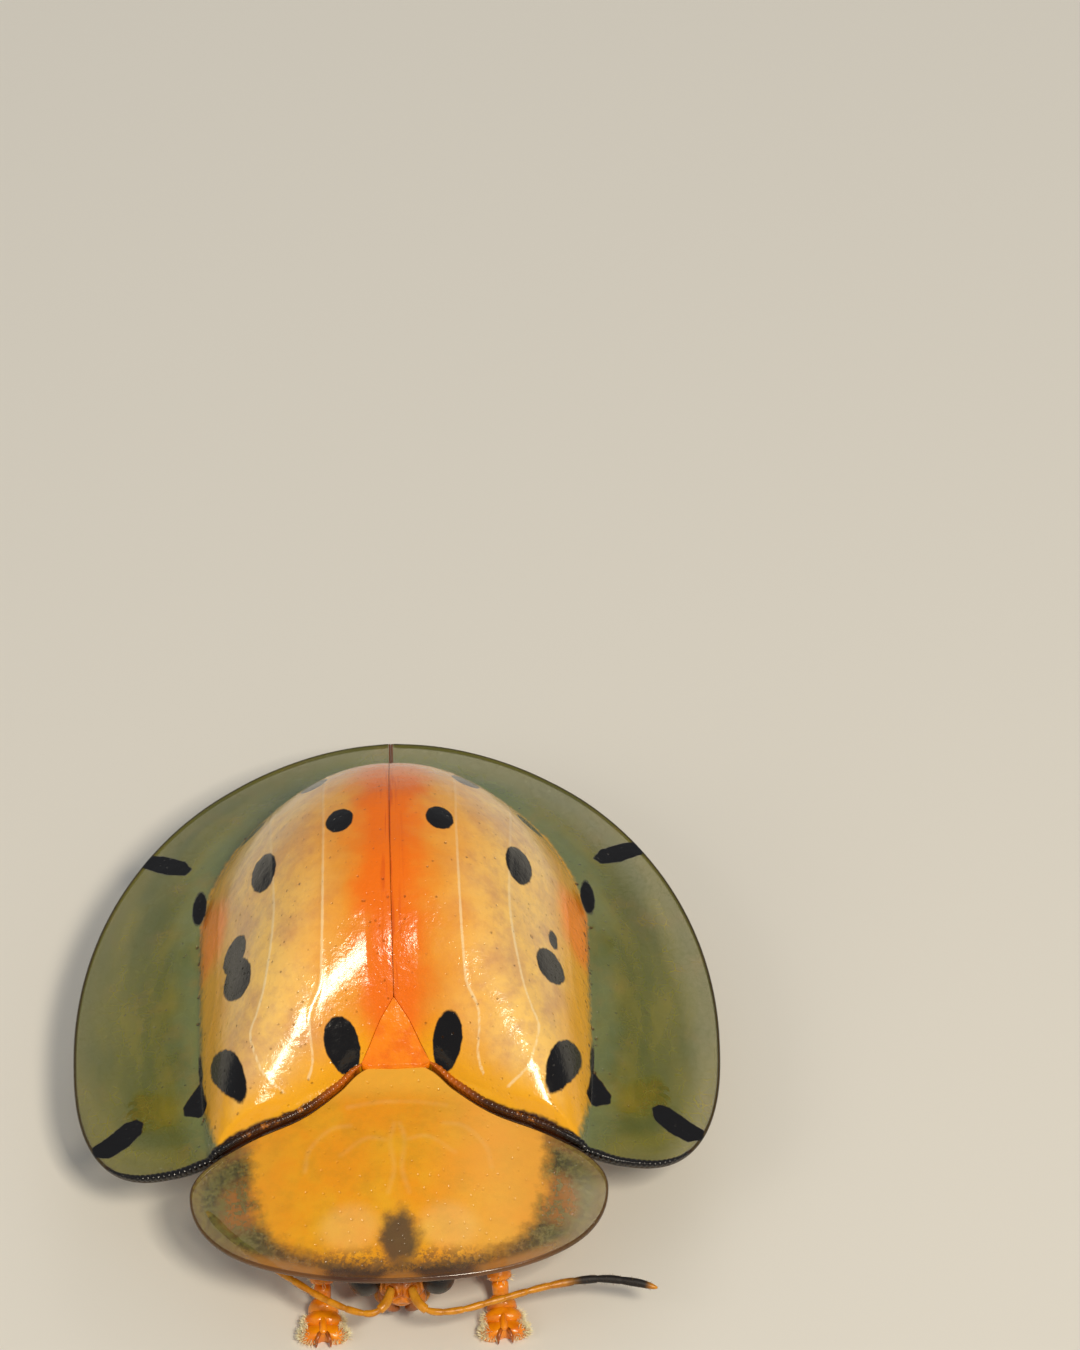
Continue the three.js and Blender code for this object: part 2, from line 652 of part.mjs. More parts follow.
// Coxa, hip, knee, ankle and toe of each leg: the front pair stands a little unevenly
const FRONT_LEFT = [[0.3, -2.3, 1.14], [1.1, -2.6, 1.1], [1.82, -2.86, 1.22], [1.9, -3.4, ANKLE_Z], [1.96, -4.3, 0.6]];
const FRONT_RIGHT = [[0.3, -2.3, 1.14], [1.0, -2.6, 1.1], [1.55, -2.86, 1.22], [1.54, -3.36, ANKLE_Z], [1.54, -4.3, 0.6]];
const MIDDLE = [[0.75, 1.5, 1.05], [1.75, 1.4, 1.04], [3.35, 1.15, 1.25], [4.25, 1.45, ANKLE_Z], [5.2, 1.55, 0.6]];
const HIND = [[0.6, 2.7, 1.05], [1.45, 3.0, 1.04], [2.75, 4.1, 1.28], [3.4, 5.1, ANKLE_Z], [4.0, 5.8, 0.6]];
leg("front_leg_left", 1, FRONT_LEFT);
leg("front_leg_right", -1, FRONT_RIGHT);
for (const [name, side] of [["left", 1], ["right", -1]]) {
  leg(`middle_leg_${name}`, side, MIDDLE);
  leg(`hind_leg_${name}`, side, HIND);
}

const FEELER_ROOT = [0.3, HEAD_Y - HEAD_HALF_DEPTH - GAP, 1.3];
antenna("antenna_left", 1, [
  FEELER_ROOT,
  [0.6, -4.58, 1.2],
  [1.15, -4.54, 1.18],
  [1.9, -4.32, 1.2],
  [2.9, -4.0, 1.18],
  [3.8, -3.86, 1.16],
  [4.5, -3.94, 1.12],
  [4.93, -4.06, 1.08],
]);
antenna("antenna_right", -1, [
  FEELER_ROOT,
  [0.58, -4.58, 1.2],
  [1.0, -4.48, 1.2],
  [1.55, -4.18, 1.24],
  [2.15, -3.72, 1.28],
  [2.8, -3.16, 1.32],
  [3.35, -2.6, 1.34],
  [3.75, -2.05, 1.34],
]);

// Origin under the middle of the bounding box, on the floor
const box = new THREE.Box3().setFromObject(beetle);
beetle.position.set(0, -(box.min.y + box.max.y) / 2, 0);

export default beetle;
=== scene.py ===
# %% [markdown]
# # Spotted tortoise beetle
# This lesson builds a life-size spotted tortoise beetle standing on a pale table.
# The solid model gives the frame: its box, its nodes and its one body.
# Every shape below is drawn in millimetres and turned into metres when its mesh is made.

# %% The frame
import math
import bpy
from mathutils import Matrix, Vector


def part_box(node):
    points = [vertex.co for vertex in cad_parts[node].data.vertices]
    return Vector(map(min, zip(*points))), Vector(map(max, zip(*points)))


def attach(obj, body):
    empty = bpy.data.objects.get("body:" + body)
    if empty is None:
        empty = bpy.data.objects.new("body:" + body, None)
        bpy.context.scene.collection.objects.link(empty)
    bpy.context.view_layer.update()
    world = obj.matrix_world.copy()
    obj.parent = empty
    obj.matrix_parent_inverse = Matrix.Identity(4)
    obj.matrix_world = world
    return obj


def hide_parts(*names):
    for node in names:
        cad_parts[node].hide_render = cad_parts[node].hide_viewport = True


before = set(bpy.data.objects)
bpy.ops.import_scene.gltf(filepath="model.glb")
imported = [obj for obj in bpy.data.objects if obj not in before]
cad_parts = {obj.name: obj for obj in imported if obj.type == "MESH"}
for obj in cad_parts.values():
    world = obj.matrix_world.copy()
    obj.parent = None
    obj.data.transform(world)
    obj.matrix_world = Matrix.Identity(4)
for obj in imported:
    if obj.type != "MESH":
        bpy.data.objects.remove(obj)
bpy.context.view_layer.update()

from types import SimpleNamespace

import bpy
import numpy as np
from mathutils import Matrix, Vector

MM = 1000.0  # millimetres in a metre
CASE_APEX_Y = 9.5  # rear tip of the wing cases in the drawings
# drawings have y = 0 at the front edge of the wing cases; the frame has it under the middle
SHIFT_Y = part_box("wing_case_left")[1].y * MM - CASE_APEX_Y
print("nodes", len(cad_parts), "drawing moved along y by", round(SHIFT_Y, 4), "mm")

# %% [markdown]
# ## Measures of the shell
# The wing cases have a domed disc and a wide flat margin, and a low half-round shield lies in
# front of them. A light scan of a pinned beetle could give these forms, but a few measures are
# easier to steer, and the same ones shaped the solid model.

# %% Measures of the shell
CASE_HALF_WIDTH, CASE_WIDEST_Y = 6.35, 1.7
LOBE_X, LOBE_Y, LOBE_POWER, SEAM_START_X = 4.4, -1.86, 2.6, 0.5
DISC_HALF_WIDTH, DISC_WAIST, DISC_REAR = 3.85, 0.25, 4.8
DOME_Y, DOME_HEIGHT, DOME_POWER, SHOULDER_POWER = 3.6, 3.35, 2.4, 6.0
FRONT_SHARE, FRONT_CURVE = 0.24, 2.0
MARGIN_Z, MARGIN_REAR_DROP, MARGIN_SLOPE, MARGIN_LIFT = 2.35, 0.15, 0.3, 0.025
SHIELD_HALF_WIDTH, SHIELD_WIDEST_Y, SHIELD_FRONT_Y = 4.05, -2.35, -4.58
SHIELD_FRONT_Z, SHIELD_REAR_Z, SHIELD_REAR_Y, SHIELD_CORNER_X = 2.2, 3.15, -0.05, 3.3
SHIELD_POWER, SHIELD_TILT, SHIELD_SIDE_DROP, SHIELD_BULGE = 2.1, 1.3, 0.4, 0.25
SUTURE_X = 0.0015  # half the slit between the wing cases
CASE_GAP = 0.06  # the wing cases stay this far behind the line that they share with the shield
RIM = 0.05  # radius of a plate's rounded edge
RELIEF = 0.02  # room under the solid's surface for ridges and lumps
print("shell", 2 * CASE_HALF_WIDTH, "mm wide and", round(CASE_APEX_Y - SHIELD_FRONT_Y, 2), "mm long")

# %% [markdown]
# ## Curves in plan
# From above, a wavy line parts the shield from the wing cases, and the disc has an edge of its
# own inside the margin. Both could be traced as splines. Formulas are used, because they give
# a value at every x and y, for the mesh and for the paint alike.

# %% Curves in plan
SEAM_BEND, SEAM_HOOK = 0.7, 0.3  # shares of a round bend and of a late hook towards the lobe
DIP, DIP_START_X, DIP_RAMP, DIP_X, DIP_WIDTH = 0.3, 0.65, 0.45, 1.75, 0.9


def array(values):
    return np.asarray(values, dtype=float)


def clamp01(value):
    return np.clip(value, 0.0, 1.0)


def blend(a, b, t):
    return a + (b - a) * t


def ease(t):
    """A share from 0 to 1 that starts and ends softly."""
    return t**2 * (3 - 2 * t)


def bell(*distances):
    """1 in the middle of a soft bump; each distance from the middle is given in widths."""
    return np.exp(-sum(d**2 for d in distances))


def seam_y(x):
    """Where shield and wing cases meet in the solid model."""
    bend = np.sin(math.pi / 2 * clamp01((np.abs(x) - SEAM_START_X) / (LOBE_X - SEAM_START_X)))
    return LOBE_Y * (SEAM_BEND * bend + SEAM_HOOK * bend**4)


def join_y(x):
    """The same line with a dip beside the scutellum."""
    side = np.abs(x)
    start = clamp01((side - DIP_START_X) / DIP_RAMP)
    return seam_y(x) - DIP * ease(start) * bell((side - DIP_X) / DIP_WIDTH)


def disc_radius(x, y):
    """0 on the crest of the dome, 1 on the edge of the disc, and more on the margin."""
    width = DISC_HALF_WIDTH - DISC_WAIST * clamp01((DOME_Y - y) / (DOME_Y - LOBE_Y)) ** 4
    rear = np.hypot(x / DISC_HALF_WIDTH, (y - DOME_Y) / DISC_REAR)
    return np.where(y < DOME_Y, np.abs(x) / width, rear)


print("shield and wing cases meet from y 0 to", round(float(join_y(LOBE_X)), 2), "mm")

# %% [markdown]
# ## Curves of height
# The disc is a dome that falls towards the front, the margin hangs from its edge like an eave,
# and the shield is a tilted sheet with a low bulge. A sculpted mesh could hold all that, but
# height curves keep both sides alike and let every other piece ask how high the shell is.

# %% Curves of height
SHIELD_SIDE_POWER, SHIELD_SIDE_LIMIT = 2.4, 1.1
BULGE_HALF_WIDTH, BULGE_HALF_LENGTH = 3.0, 2.1
STEEPEST = 1.8  # plates are never thickened more than this for a slope


def case_height(x, y):
    radius = disc_radius(x, y)
    edge = MARGIN_Z - MARGIN_REAR_DROP * clamp01((y - DOME_Y) / DISC_REAR) ** 2
    out = (radius - 1) * DISC_HALF_WIDTH
    margin = edge - MARGIN_SLOPE * out + MARGIN_LIFT * out**2
    forward = clamp01((DOME_Y - y) / (DOME_Y - seam_y(x)))
    crest = 1 - (1 - FRONT_SHARE) * forward**FRONT_CURVE
    power = DOME_POWER + (SHOULDER_POWER - DOME_POWER) * forward**2
    disc = edge + DOME_HEIGHT * crest * (1 - np.minimum(radius, 1) ** power)
    return np.where(radius > 1, margin, disc)


def shield_height(x, y):
    back = clamp01((y - SHIELD_FRONT_Y) / (SHIELD_REAR_Y - SHIELD_FRONT_Y))
    tilt = SHIELD_FRONT_Z + (SHIELD_REAR_Z - SHIELD_FRONT_Z) * back**SHIELD_TILT
    aside = np.minimum(SHIELD_SIDE_LIMIT, np.abs(x) / SHIELD_HALF_WIDTH)
    middle = (SHIELD_FRONT_Y + SHIELD_REAR_Y) / 2
    inside = 1 - (x / BULGE_HALF_WIDTH) ** 2 - ((y - middle) / BULGE_HALF_LENGTH) ** 2
    return tilt - SHIELD_SIDE_DROP * aside**SHIELD_SIDE_POWER + SHIELD_BULGE * np.maximum(0, inside) ** 2


def steepness(height, x, y, step=0.01):
    """How much taller than thick a sheet on this slope stands, measured straight down."""
    along_x = (height(x + step, y) - height(x - step, y)) / (2 * step)
    along_y = (height(x, y + step) - height(x, y - step)) / (2 * step)
    return np.minimum(STEEPEST, np.sqrt(1 + along_x**2 + along_y**2))


print("dome top", round(float(case_height(0.1, DOME_Y)), 3), "mm over the table")

# %% [markdown]
# ## Closed skins
# A beetle is a set of thin plates, rods and lumps. Each could be modelled by hand from a cube or
# a cylinder. Here each becomes a stack of rings of points joined by faces and closed at both
# ends, so that every piece is watertight and faces outwards.

# %% Closed skins


def points_of(*columns):
    """Points from their x, y and z, each a list or one number for all."""
    return np.stack(np.broadcast_arrays(*columns), axis=-1)


def ring_faces(rings, around):
    """Quads between rings of points that turn the right-hand way about their direction."""
    here = np.arange(around)
    ahead = (here + 1) % around
    rows = (np.arange(rings - 1) * around)[:, None]
    quads = [rows + here, rows + ahead, rows + around + ahead, rows + around + here]
    return np.stack(quads, axis=-1).reshape(-1, 4)


def skin(rings, start=None, end=None):
    """Points, quads and triangles of a closed skin over rings, with a pole at each end."""
    rings = [array(r) for r in rings]
    around = len(rings[0])
    start = rings[0].mean(axis=0) if start is None else array(start)
    end = rings[-1].mean(axis=0) if end is None else array(end)
    points = np.concatenate(rings + [start[None], end[None]])
    here = np.arange(around)
    ahead = (here + 1) % around
    last = (len(rings) - 1) * around
    first_pole = np.full(around, len(points) - 2)
    tris = [points_of(first_pole, ahead, here), points_of(first_pole + 1, last + here, last + ahead)]
    return points, ring_faces(len(rings), around), np.concatenate(tris)


print("a skin over 3 rings of 4 points has", len(ring_faces(3, 4)), "quads and 8 triangles")

# %% [markdown]
# ## Mesh pieces
# A skin is only numbers until it is a mesh object. Blender could build it face by face in edit
# mode, but filling the mesh's own lists is quicker by far, and an attribute can ride along for
# the paint. The place of each piece is in its mesh, and its object stays at the origin.

# %% Mesh pieces


def in_metres(points):
    """Points of a drawing, in the frame's metres."""
    return (array(points) + array([0, SHIFT_Y, 0])) / MM


def in_scene(name, data):
    """An object for a mesh, a lamp or a camera, linked to the scene."""
    thing = bpy.data.objects.new(name, data)
    bpy.context.scene.collection.objects.link(thing)
    return thing


def add_fields(mesh, values):
    """One float attribute of the mesh's points for each list of values."""
    for key, numbers in values.items():
        mesh.attributes.new(key, "FLOAT", "POINT").data.foreach_set("value", array(numbers).ravel())


def piece(name, part, material, values=None):
    """A mesh object from a skin in millimetres, with a float attribute for each list of values."""
    points, quads, tris = part
    mesh = bpy.data.meshes.new(name)
    mesh.vertices.add(len(points))
    mesh.vertices.foreach_set("co", in_metres(points).ravel())
    mesh.loops.add(quads.size + tris.size)
    corners = np.concatenate([quads.ravel(), tris.ravel()]).astype(int)
    mesh.loops.foreach_set("vertex_index", corners)
    mesh.polygons.add(len(quads) + len(tris))
    starts = np.concatenate([np.arange(len(quads)) * 4, quads.size + np.arange(len(tris)) * 3])
    mesh.polygons.foreach_set("loop_start", starts.astype(int))
    mesh.update(calc_edges=True)
    mesh.validate()
    add_fields(mesh, values or {})
    mesh.shade_smooth()
    mesh.materials.append(material)
    return in_scene(name, mesh)


print("the drawings' origin lies at", in_metres([0, 0, 0]).tolist(), "m")

# %% [markdown]
# ## Lines
# Outlines, veins, creases and the middle lines of legs are lists of a few points. A spline object
# could carry them, but the curves are only needed as points at even steps, and as a distance for
# ridges and paint, so both are worked out here.

# %% Lines
STEPS_PER_SPAN = 24
FAR = 1e9
SHORTEST = 1e-12


def resample(points, count, closed=False):
    """The same line with points at equal steps along it."""
    points = array(points)
    if closed:
        points = np.concatenate([points, points[:1]])
    lengths = np.linalg.norm(np.diff(points, axis=0), axis=1)
    along = np.concatenate([[0], np.cumsum(lengths)])
    wanted = np.linspace(0, along[-1], count + 1)[:-1] if closed else np.linspace(0, along[-1], count)
    return points_of(*[np.interp(wanted, along, column) for column in points.T])


def smooth_line(points, count):
    """A Catmull-Rom curve through points, resampled at equal steps."""
    p = array(points)
    p = np.concatenate([2 * p[:1] - p[1:2], p, 2 * p[-1:] - p[-2:-1]])
    t = np.linspace(0, 1, STEPS_PER_SPAN, endpoint=False)[:, None]
    curve = []
    for a, b, c, d in zip(p[:-3], p[1:-2], p[2:-1], p[3:]):
        cubic = 2 * b + (c - a) * t + (2 * a - 5 * b + 4 * c - d) * t**2
        curve.append((cubic + (3 * b - a - 3 * c + d) * t**3) / 2)
    return resample(np.concatenate(curve + [p[-2:-1]]), count)


def line_distance(x, y, line):
    """Distance in plan from points to a line of points."""
    best = np.full(np.shape(x), FAR)
    for (ax, ay), (bx, by) in zip(line[:-1], line[1:]):
        dx, dy = bx - ax, by - ay
        t = clamp01(((x - ax) * dx + (y - ay) * dy) / max(dx * dx + dy * dy, SHORTEST))
        best = np.minimum(best, np.hypot(x - ax - dx * t, y - ay - dy * t))
    return best


def nearest_distance(x, y, lines):
    """Distance in plan from points to the nearest of several lines."""
    return np.min([line_distance(x, y, line) for line in lines], axis=0)


print("a line of 3 points is drawn with", len(smooth_line([(0, 0), (1, 0), (1, 1)], count=50)), "points")

# %% [markdown]
# ## Plates
# Wing cases, scutellum and shield are thin plates of chitin with rounded edges. A sheet with a
# Solidify and a Bevel modifier would do, but its edge would be even all the way. One set of rings
# that runs over the top, round the edge and back under lets edge and thickness change by place.

# %% Plates
EDGE_TURNS = (0.18, 0.34, 0.5, 0.66, 0.82)  # shares of the half turn round the edge
LAST_STEP = 0.12  # share of a step: one ring this close to the edge keeps its shading narrow


def loop_normals(loop):
    """Outward normals, in plan, of a closed line that turns anticlockwise."""
    along = np.roll(loop, -1, axis=0) - np.roll(loop, 1, axis=0)
    normal = points_of(along[:, 1], -along[:, 0])
    return normal / np.linalg.norm(normal, axis=1)[:, None]


def plate(outline, pole, height, depth, top_rings, under_rings, rim=RIM):
    """A thin closed plate with a rounded edge: its rings run over the top from a pole, round
    the edge and back under. Returns the skin, each point's x, y before the edge was rounded, and
    1 for each point of the under side."""
    normal = loop_normals(outline) * np.broadcast_to(rim, len(outline))[:, None]
    inner = outline - normal
    rings, places = [], []
    for t in [*np.linspace(0, 1, top_rings)[1:-1], 1 - LAST_STEP / top_rings, 1]:
        x, y = (pole + (inner - pole) * t).T
        rings.append(points_of(x, y, height(x, y)))
        places.append(points_of(x, y))
    x, y = inner.T
    top = height(x, y)
    low = top - depth(x, y)
    for turn in EDGE_TURNS:
        out = math.sin(math.pi * turn)
        z = (top + low) / 2 + (top - low) / 2 * math.cos(math.pi * turn)
        rings.append(points_of(x + normal[:, 0] * out, y + normal[:, 1] * out, z))
        places.append(outline)
    for t in np.linspace(1, 0, under_rings + 1)[:-1]:
        x, y = (pole + (inner - pole) * t).T
        rings.append(points_of(x, y, height(x, y) - depth(x, y)))
        places.append(points_of(x, y))
    above = [*pole, float(height(*pole))]
    under = [*pole, float(height(*pole) - depth(*pole))]
    # rings that grow from the top pole turn clockwise about the way down, so they are reversed
    part = skin([r[::-1] for r in rings], above, under)
    x, y = np.concatenate([p[::-1] for p in places] + [array([pole, pole])]).T
    below = np.repeat(np.arange(len(rings)) > top_rings + len(EDGE_TURNS) // 2, len(outline))
    return part, x, y, np.concatenate([below, [False, True]])


def evenly(thickness):
    """A plate's depth that is the same everywhere."""
    return lambda x, y: thickness + 0 * x


print("a plate's edge turns in", len(EDGE_TURNS), "steps")

# %% [markdown]
# ## Nodes
# Finishes and growing rules are trees of nodes. They could be wired by hand in Blender's node
# editor. Written as sums they stay readable and come out the same each time: every call adds one
# node and gives back its output, which the next call takes in.

# %% Nodes


def colour(code):
    """Linear colour from a screen colour such as #e8b040."""
    parts = [int(code[i : i + 2], 16) / 255 for i in (1, 3, 5)]
    linear = [c / 12.92 if c <= 0.04045 else ((c + 0.055) / 1.055) ** 2.4 for c in parts]
    return (*linear, 1.0)


class Tree:
    """Short calls that add nodes to a tree of any kind."""

    def __init__(self, tree):
        self.tree = tree

    def put(self, value, socket):
        if isinstance(value, bpy.types.NodeSocket):
            self.tree.links.new(value, socket)
        elif isinstance(value, str) and socket.type == "RGBA":
            socket.default_value = colour(value)
        else:
            socket.default_value = value

    def node(self, kind, inputs=(), output=0, **settings):
        made = self.tree.nodes.new(kind)
        for key, value in settings.items():
            setattr(made, key, value)
        for key, value in dict(inputs).items():
            self.put(value, made.inputs[key])
        return made.outputs[output]

    def math(self, operation, a, b=0.0, clamp=False):
        return self.node("ShaderNodeMath", {0: a, 1: b}, operation=operation, use_clamp=clamp)

    def plus(self, a, b):
        return self.math("ADD", a, b)

    def minus(self, a, b):
        return self.math("SUBTRACT", a, b)

    def times(self, a, b):
        return self.math("MULTIPLY", a, b)

    def stretch(self, vector, by):
        return self.node("ShaderNodeVectorMath", {0: vector, 1: by}, operation="MULTIPLY")


print("amber is", [round(c, 2) for c in colour("#e8b040")])

# %% [markdown]
# ## Paint
# A finish needs more than sums: places on the piece, soft noises, steps and colours laid over one
# another. Painting a picture for each piece would be another way, but steps over measured
# distances keep every edge sharp however close one looks.

# %% Paint


class Paint(Tree):
    """The calls that finishes are written with."""

    def larger(self, a, b):
        return self.math("MAXIMUM", a, b)

    def rest(self, share):
        """What is left of 1, and never less than 0."""
        return self.math("SUBTRACT", 1.0, share, True)

    def blend(self, share, a, b):
        return self.node("ShaderNodeMix", {0: share, 2: a, 3: b}, 0, data_type="FLOAT")

    def step(self, value, low, high, to_low=0.0, to_high=1.0):
        """to_low below low, to_high above high, smooth between; low may be the larger."""
        ends = {0: value, 1: low, 2: high, 3: to_low, 4: to_high}
        if low > high:
            ends.update({1: high, 2: low, 3: to_high, 4: to_low})
        return self.node("ShaderNodeMapRange", ends, interpolation_type="SMOOTHSTEP")

    def mix(self, share, a, b):
        return self.node("ShaderNodeMix", {0: share, 6: a, 7: b}, 2, data_type="RGBA")

    def wash(self, base, code, share, most=1.0):
        """A colour laid over the base by a share, at its full strength times most."""
        return self.mix(share if most == 1.0 else self.times(share, most), base, code)

    def field(self, name):
        return self.node("ShaderNodeAttribute", (), 2, attribute_name=name)

    def place(self):
        """Place on the object, in millimetres."""
        return self.stretch(self.node("ShaderNodeTexCoord", (), 3), (MM,) * 3)

    def part(self, vector, axis):
        return self.node("ShaderNodeSeparateXYZ", {0: vector}, "XYZ".index(axis))

    def noise(self, vector, scale, detail=2.0, roughness=0.5):
        inputs = {"Vector": vector, "Scale": scale, "Detail": detail, "Roughness": roughness}
        return self.node("ShaderNodeTexNoise", inputs)

    def cells(self, vector, scale, feature="F1"):
        return self.node("ShaderNodeTexVoronoi", {"Vector": vector, "Scale": scale}, feature=feature)

    def group(self, name, **inputs):
        made = self.tree.nodes.new("ShaderNodeGroup")
        made.node_tree = bpy.data.node_groups[name]
        for key, value in inputs.items():
            self.put(value, made.inputs[key])
        return made.outputs[0]

    def bump(self, height, distance, strength):
        inputs = {"Height": height, "Distance": distance / MM, "Strength": strength}
        return self.node("ShaderNodeBump", inputs)


print("calls for paint:", [name for name in vars(Paint) if not name.startswith("_")])

# %% [markdown]
# ## Effects that several finishes share
# Chitin is never quite even: it has a fine grain, scattered pits, soft cloudy patches and, where
# it is thin, a net of cells. Each effect could be built anew in every material. As a shader node
# group with named inputs it is built once and placed with other values each time.

# %% Effects


def effect(name, inputs, recipe):
    """A shader node group with float inputs and one output, used by several finishes."""
    tree = bpy.data.node_groups.new(name, "ShaderNodeTree")
    for key, value in inputs.items():
        socket = tree.interface.new_socket(key, in_out="INPUT", socket_type="NodeSocketFloat")
        socket.default_value = value
    tree.interface.new_socket("Amount", in_out="OUTPUT", socket_type="NodeSocketFloat")
    start = tree.nodes.new("NodeGroupInput")
    end = tree.nodes.new("NodeGroupOutput")
    paint = Paint(tree)
    paint.put(recipe(paint, *[start.outputs[key] for key in inputs]), end.inputs[0])


def bent_place(p, scale, amount):
    """Place pushed about by a noise, so that cells on it have bent walls."""
    place = p.place()
    push = p.node("ShaderNodeTexNoise", {"Vector": place, "Scale": scale}, 1)
    return p.node("ShaderNodeVectorMath", {0: place, 1: p.stretch(push, (amount,) * 3)})


def grain(p, scale, depth):
    """Uneven skin of a plate: a broad ripple with a fine grain on it."""
    place = p.place()
    broad = p.noise(place, p.times(scale, 0.2), 1.0)
    fine = p.noise(place, scale, 3.0, 0.6)
    return p.times(p.plus(p.times(broad, 2.0), fine), depth)


def pits(p, scale, size):
    """1 in the middle of scattered small pits, 0 between them."""
    distance = p.cells(bent_place(p, 3.0, 0.12), scale)
    return p.rest(p.math("DIVIDE", distance, size, True))


def clouds(p, scale, low, high):
    """Soft uneven patches."""
    value = p.noise(p.place(), scale, 4.0, 0.62)
    ends = {0: value, 1: low, 2: high}
    return p.node("ShaderNodeMapRange", ends, interpolation_type="SMOOTHSTEP")


def network(p, scale, width):
    """1 on the walls of a fine net of cells, as in the clear margin of a wing case."""
    wall = p.cells(bent_place(p, 2.0, 0.3), scale, "DISTANCE_TO_EDGE")
    return p.rest(p.math("DIVIDE", wall, width, True))


effect("Grain", {"Scale": 20.0, "Depth": 0.5}, grain)
effect("Pits", {"Scale": 7.0, "Size": 0.3}, pits)
effect("Clouds", {"Scale": 1.5, "Low": 0.4, "High": 0.65}, clouds)
effect("Network", {"Scale": 3.0, "Width": 0.08}, network)
print("effects", [g.name for g in bpy.data.node_groups])

# %% [markdown]
# ## Finishes
# A finish is one material: glossy chitin, hair or the painted table. Most hard parts of a beetle
# are two near colours in soft patches over a fine grain. A plain colour would look like plastic,
# so one helper makes that common finish, and the shell gets recipes of its own further down.

# %% Finishes


def finish(name, recipe, **constants):
    """A material: constants are set on the shader's own sockets, the recipe feeds the rest."""
    made = bpy.data.materials.new(name)
    made.use_nodes = True
    tree = made.node_tree
    tree.nodes.clear()
    shader = tree.nodes.new("ShaderNodeBsdfPrincipled")
    end = tree.nodes.new("ShaderNodeOutputMaterial")
    tree.links.new(shader.outputs[0], end.inputs[0])
    paint = Paint(tree)
    for key, value in {**constants, **recipe(paint)}.items():
        paint.put(value, shader.inputs[key.replace("_", " ")])
    return made


def patchy_finish(name, colours, patches, skin_grain, **constants):
    """Two colours in soft patches (scale, low, high) over a grain (scale, depth, distance,
    strength); skin_grain is None where the piece is too thin to show one."""

    def recipe(p):
        scale, low, high = patches
        sockets = {"Base Color": p.mix(p.group("Clouds", Scale=scale, Low=low, High=high), *colours)}
        if skin_grain:
            scale, depth, distance, strength = skin_grain
            sockets["Normal"] = p.bump(p.group("Grain", Scale=scale, Depth=depth), distance, strength)
        return sockets

    return finish(name, recipe, **constants)


print("finishes are ready to be mixed")

# %% [markdown]
# ## Growing rules
# Hairs, the facets of an eye and the row of beads on a wing case follow a rule, so each is a
# tree of geometry nodes with named inputs. Placing hundreds of hairs by hand would take a day;
# a tree with a fixed seed gives the same hairs each time, and its result is kept as plain mesh.

# %% Growing rules
KINDS = {int: "NodeSocketInt", float: "NodeSocketFloat", tuple: "NodeSocketVector"}


def growth(name, inputs, recipe):
    """A geometry node tree; each input's kind follows from its first value."""
    tree = bpy.data.node_groups.new(name, "GeometryNodeTree")
    tree.interface.new_socket("Geometry", in_out="INPUT", socket_type="NodeSocketGeometry")
    for key, value in inputs.items():
        socket = tree.interface.new_socket(key, in_out="INPUT", socket_type=KINDS[type(value)])
        socket.default_value = value
    tree.interface.new_socket("Material", in_out="INPUT", socket_type="NodeSocketMaterial")
    tree.interface.new_socket("Geometry", in_out="OUTPUT", socket_type="NodeSocketGeometry")
    start = tree.nodes.new("NodeGroupInput")
    end = tree.nodes.new("NodeGroupOutput")
    grow = Tree(tree)
    shape = recipe(grow, start.outputs["Geometry"], *[start.outputs[key] for key in inputs])
    real = grow.node("GeometryNodeRealizeInstances", {"Geometry": shape})
    coated = {"Geometry": real, "Material": start.outputs["Material"]}
    grow.put(grow.node("GeometryNodeSetMaterial", coated), end.inputs[0])


def grown(name, source, tree_name, material, settings):
    """What a tree grows from a mesh object, as a plain mesh object; the source is used up."""
    live = source.modifiers.new("growth", "NODES")
    live.node_group = bpy.data.node_groups[tree_name]
    wanted = dict(settings, Material=material)
    for item in live.node_group.interface.items_tree:
        if item.in_out == "INPUT" and item.name in wanted:
            live[item.identifier] = wanted[item.name]
    source.update_tag()
    bpy.context.view_layer.update()
    graph = bpy.context.evaluated_depsgraph_get()
    mesh = bpy.data.meshes.new_from_object(source.evaluated_get(graph), depsgraph=graph)
    source.modifiers.remove(live)
    bpy.data.objects.remove(source)
    mesh.name = name
    mesh.materials.clear()
    mesh.materials.append(material)
    mesh.polygons.foreach_set("material_index", np.zeros(len(mesh.polygons), dtype=int))
    mesh.shade_smooth()
    return in_scene(name, mesh)


print("growing rules take", sorted(KINDS.values()))

# %% [markdown]
# ## Finish of the wing cases
# Live wing cases are glossy. Cream and pinkish-grey clouds lie over the disc, deep orange along
# the slit between the two, yellow along the front and side, and hard-edged black spots. The
# margin is a clear olive sheet. A picture wrapped round them would blur up close, so each zone
# is one measured distance turned into a share. First come the distances and marks themselves.

# %% Zones and marks of a wing case
CASE_FIELDS = ("disc", "front", "edge", "vein", "patch", "turn", "lip", "spot", "under")
UNDER_ALPHA = 0.16  # the colour of a clear sheet lies in its top face: its under face is faint


